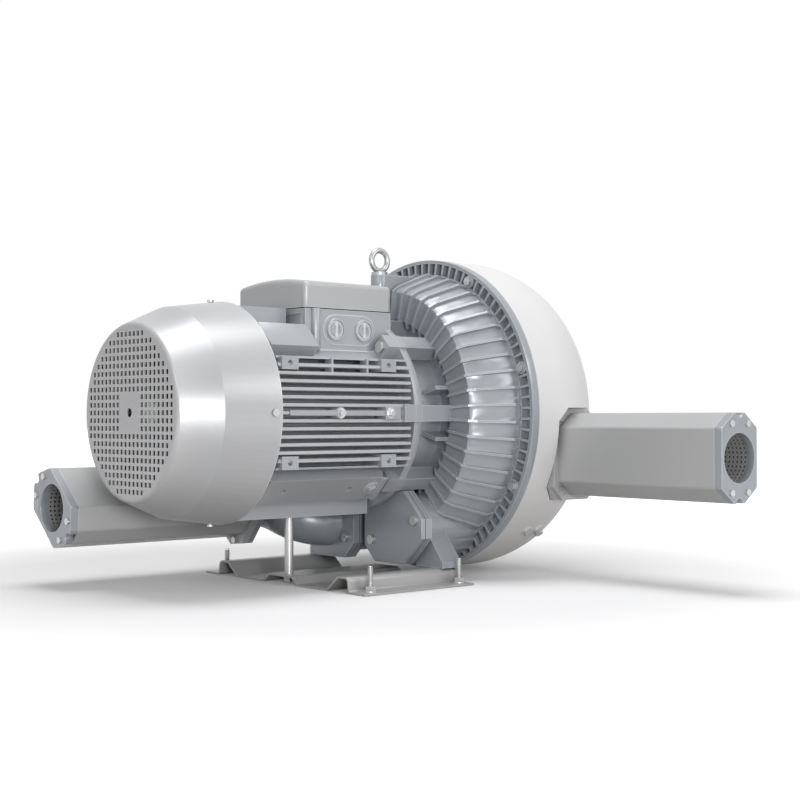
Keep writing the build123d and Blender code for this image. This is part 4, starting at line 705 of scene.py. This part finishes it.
# Side fins: cast with the motor frame, and thicker at the root than at the tip, so that the
# casting leaves its mould. Two short ribs on each side tie the upper fins together.
def wedge(rear, front, tip, root, height, tip_half, root_half, near):
    """Points and faces of a fin that thickens from its tip to its root."""
    points = [
        (x, near * reach, height + side * half)
        for x in (rear, front)
        for reach, half in ((tip, tip_half), (root, root_half))
        for side in (-1, 1)
    ]
    faces = [(0, 1, 3, 2), (4, 6, 7, 5), (0, 4, 5, 1), (2, 3, 7, 6), (0, 2, 6, 4), (1, 5, 7, 3)]
    return points, faces


fin_rear, fin_front = -0.2395, 0.0205
fin_tip, fin_root = 0.160, 0.146
fin_tip_gap = 0.0006
fin_tip_half, fin_root_half = 0.0024, 0.0046
fin_pitch = 0.012
fins_above = 6
fin_shapes = []
for near in (-1, 1):
    for number in range(-fins_above, fins_above + 1):
        fin_shapes.append(
            wedge(
                fin_rear, fin_front, fin_tip - fin_tip_gap, fin_root,
                shaft_height + number * fin_pitch, fin_tip_half, fin_root_half, near,
            )
        )
cast_fins = new_piece("drafted_side_fins", *joined(*fin_shapes), motor_paint)
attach(cast_fins, "housing")

cross_rib_places = (-0.1375, -0.068)
cross_rib_half = 0.002
cross_rib_low, cross_rib_high = 0.3355, 0.3605
cross_rib_outer, cross_rib_inner = fin_tip - 0.001, fin_tip - 0.018
cross_rib_edge = 0.0007
cross_ribs = []
for near in (-1, 1):
    across = sorted((near * cross_rib_outer, near * cross_rib_inner))
    for x in cross_rib_places:
        cross_ribs.append(
            block(
                (x - cross_rib_half, across[0], cross_rib_low),
                (x + cross_rib_half, across[1], cross_rib_high),
                cross_rib_edge,
            )
        )
fin_cross_ribs = new_piece("fin_cross_ribs", *joined(*cross_ribs), motor_paint)
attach(fin_cross_ribs, "housing")

# Mid rib: the thick rib at the shaft's height on each side of the frame. It ends in a machined
# block with a zinc plated hexagon bolt.
rib_block_rear, rib_block_front = -0.036, -0.005
rib_block_face, rib_block_root = 0.1660, 0.140
rib_block_half = 0.0105
rib_block_edge = 0.001
rib_bolt_place = -0.027
rib_bolt_flats = 0.010
rib_blocks = []
for near in (-1, 1):
    across = sorted((near * rib_block_face, near * rib_block_root))
    rib_blocks.append(
        block(
            (rib_block_rear, across[0], shaft_height - rib_block_half),
            (rib_block_front, across[1], shaft_height + rib_block_half),
            rib_block_edge,
        )
    )
rib_bolts = [
    hexagon_bolt((rib_bolt_place, -rib_block_face, shaft_height), rib_bolt_flats, turn)
    for turn in (0.0, math.pi)
]
mid_rib_blocks = new_piece("mid_rib_end_blocks", *joined(*rib_blocks), motor_paint)
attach(mid_rib_blocks, "housing")
mid_rib_bolts = new_piece("mid_rib_bolts", *joined(*rib_bolts), zinc)
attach(mid_rib_bolts, "housing")

# Fan cover: drawn steel sheet with a pierced grille in its face, sprayed in a silky coat.
cover_paint = finish_with_painted_light(
    "silver paint on the fan cover",
    paint=(0.44, 0.447, 0.46), painted_shade=(0.25, 0.25, 0.255), edge=(0.60, 0.60, 0.61),
    metallic=0.25, gloss=0.34, grain_size=1600.0, grain_depth=0.05, unevenness=0.05,
)
dress(cover_paint, "fan_cover")

# Terminal box: die cast base and lid, sprayed with the motor, on a rubber seal. The wall at the
# bottom of its scooped end closes it towards the fan.
box_paint = finish_with_painted_light(
    "silver paint on the terminal box",
    paint=(0.39, 0.41, 0.43), painted_shade=(0.20, 0.215, 0.235), edge=(0.66, 0.68, 0.70),
    metallic=0.15, gloss=0.32, grain_size=1000.0, grain_depth=0.15, unevenness=0.10,
)
lid_paint = finish_with_painted_light(
    "silver paint on the box lid",
    paint=(0.43, 0.44, 0.45), painted_shade=(0.24, 0.245, 0.25), edge=(0.64, 0.65, 0.66),
    metallic=0.14, gloss=0.34, grain_size=1400.0, grain_depth=0.1, unevenness=0.08,
)
dress(box_paint, "terminal_box")
dress(lid_paint, "terminal_box_lid")
round_edges("terminal_box", 0.0012)
round_edges("terminal_box_lid", 0.0012)
scoop_low, scoop_high = (-0.1345, -0.0815, 0.4055), (-0.110, 0.0815, 0.4365)
scoop_edge = 0.001
scoop_wall = new_piece(
    "box_scoop_wall",
    *block(scoop_low, scoop_high, scoop_edge),
    box_paint,
)
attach(scoop_wall, "housing")

# Cable entries: two threaded holes in a raised panel on the near side, each closed by a screwed
# plug with a turned rim and a cast wing to grip it by.
plug_low, plug_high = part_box("blanking_plugs")
plug_reach = (plug_high[2] - plug_low[2]) / 2
plug_height = (plug_high[2] + plug_low[2]) / 2
box_face = -0.090
plug_face = plug_high[1]
entry_places = (plug_low[0] + plug_reach, plug_high[0] - plug_reach)


def turned_ring(place, profile, sides=40):
    """Points and faces of a turned disc facing -Y, from pairs of radius and height over a face."""
    x, face, z = place
    points, faces = [], []
    for radius, rise in profile:
        for side in range(sides):
            angle = 2 * math.pi * side / sides
            points.append((x + radius * math.cos(angle), face - rise, z + radius * math.sin(angle)))
    for ring in range(len(profile) - 1):
        for side in range(sides):
            after = (side + 1) % sides
            faces.append(
                (ring * sides + side, ring * sides + after, (ring + 1) * sides + after,
                 (ring + 1) * sides + side)
            )
    faces.append(tuple(range(sides)))
    faces.append(tuple(reversed(range(len(points) - sides, len(points)))))
    return points, faces


plug_thread = 0.0125
wing_half_width, wing_half_length = 0.0022, 0.0125
wing_top, wing_foot = 0.0060, 0.0030
wing_edge = 0.0006
plug_profile = (
    (plug_thread, box_face - plug_face),
    (plug_thread, 0.0), (plug_reach - 0.0003, 0.0), (plug_reach, 0.0005),
    (plug_reach, 0.0050), (plug_reach - 0.0010, 0.0060), (0.0152, 0.0060), (0.0146, 0.0036),
    (0.0112, 0.0036), (0.0106, 0.0052), (0.0096, 0.0056), (0.0072, 0.0056), (0.0068, 0.0044),
)
plug_shapes = []
for x in entry_places:
    plug_shapes.append(turned_ring((x, box_face, plug_height), plug_profile))
    plug_shapes.append(
        block(
            (x - wing_half_width, box_face - wing_top, plug_height - wing_half_length),
            (x + wing_half_width, box_face - wing_foot, plug_height + wing_half_length),
            wing_edge,
        )
    )
plugs = new_piece("winged_blanking_plugs", *joined(*plug_shapes), box_paint)
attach(plugs, "housing")
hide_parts("blanking_plugs")

panel_half_height = 0.0245
panel_rise = 0.0022
panel_sunk = 0.0005
panel_edge = 0.0010
end_steps = 12
panel_shape = bmesh.new()
outline = []
for x, start in ((entry_places[0], 90), (entry_places[1], -90)):
    for step in range(end_steps + 1):
        angle = math.radians(start + 180 // end_steps * step)
        outline.append(
            (x + panel_half_height * math.cos(angle), panel_half_height * math.sin(angle))
        )
foot = [panel_shape.verts.new((x, box_face + panel_sunk, plug_height + z)) for x, z in outline]
panel_shape.faces.new(foot)
grown = bmesh.ops.extrude_face_region(panel_shape, geom=panel_shape.faces[:])["geom"]
front = [part for part in grown if isinstance(part, bmesh.types.BMVert)]
bmesh.ops.translate(panel_shape, verts=front, vec=(0, -panel_rise - panel_sunk, 0))
front_edges = [
    side for side in panel_shape.edges if all(corner in front for corner in side.verts)
]
bmesh.ops.bevel(panel_shape, geom=front_edges, offset=panel_edge, segments=2, affect="EDGES")
entry_panel = new_piece("cable_entry_panel", *turned(panel_shape, 0.0), box_paint)
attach(entry_panel, "housing")

# Seals and terminals: rubber gaskets and a lip seal, and a moulded block with brass studs inside
# the terminal box. The bearings' cages are brass too.
black_rubber = finish_with_painted_light(
    "black rubber",
    paint=(0.02, 0.02, 0.02), painted_shade=(0.01, 0.01, 0.01), edge=(0.03, 0.03, 0.03),
    metallic=0.0, gloss=0.6, grain_size=900.0, grain_depth=0.2, unevenness=0.2,
)
dress(black_rubber, "terminal_box_gasket", "port_gaskets", "shaft_seal")
block_moulding = finish_with_painted_light(
    "brown moulding",
    paint=(0.08, 0.04, 0.02), painted_shade=(0.04, 0.02, 0.01), edge=(0.1, 0.05, 0.03),
    metallic=0.0, gloss=0.4, grain_size=900.0, grain_depth=0.1, unevenness=0.1,
)
dress(block_moulding, "terminal_block")
brass = finish_with_painted_light(
    "brass",
    paint=(0.65, 0.45, 0.16), painted_shade=(0.3, 0.2, 0.08), edge=(0.75, 0.55, 0.22),
    metallic=0.9, gloss=0.3, grain_size=1200.0, grain_depth=0.05, unevenness=0.1,
)
dress(brass, "terminal_studs", "bearing_cages")

# Eye bolt: drop forged steel, zinc plated.
forged_zinc = finish_with_painted_light(
    "forged and plated steel",
    paint=(0.45, 0.46, 0.47), painted_shade=(0.2, 0.2, 0.2), edge=(0.6, 0.61, 0.62),
    metallic=0.6, gloss=0.3, grain_size=600.0, grain_depth=0.15, unevenness=0.2,
)
dress(forged_zinc, "eye_bolt")

# Inside the motor: ground shaft and bearings, stacked core sheets, varnished windings and the
# black moulded fan behind the grille.
ground_steel = finish_with_painted_light(
    "ground steel",
    paint=(0.6, 0.6, 0.6), painted_shade=(0.3, 0.3, 0.3), edge=(0.7, 0.7, 0.7),
    metallic=0.9, gloss=0.25, grain_size=1500.0, grain_depth=0.05, unevenness=0.1,
)
dress(
    ground_steel,
    "shaft", "impeller_keys", "impeller_spacer",
    "rear_bearing_inner_ring", "rear_bearing_outer_ring",
    "front_bearing_inner_ring", "front_bearing_outer_ring",
)
core_sheet = finish_with_painted_light(
    "laminated steel",
    paint=(0.3, 0.3, 0.31), painted_shade=(0.15, 0.15, 0.15), edge=(0.4, 0.4, 0.4),
    metallic=0.8, gloss=0.45, grain_size=300.0, grain_depth=0.4, unevenness=0.3,
)
dress(core_sheet, "stator_core", "rotor_core")
copper = finish_with_painted_light(
    "varnished copper wire",
    paint=(0.5, 0.2, 0.07), painted_shade=(0.2, 0.08, 0.03), edge=(0.6, 0.3, 0.12),
    metallic=0.7, gloss=0.35, grain_size=500.0, grain_depth=0.8, unevenness=0.3,
)
dress(copper, "stator_windings")
fan_moulding = finish_with_painted_light(
    "moulded fan",
    paint=(0.12, 0.125, 0.13), painted_shade=(0.04, 0.04, 0.04), edge=(0.18, 0.18, 0.19),
    metallic=0.0, gloss=0.5, grain_size=900.0, grain_depth=0.2, unevenness=0.2,
)
dress(fan_moulding, "cooling_fan")
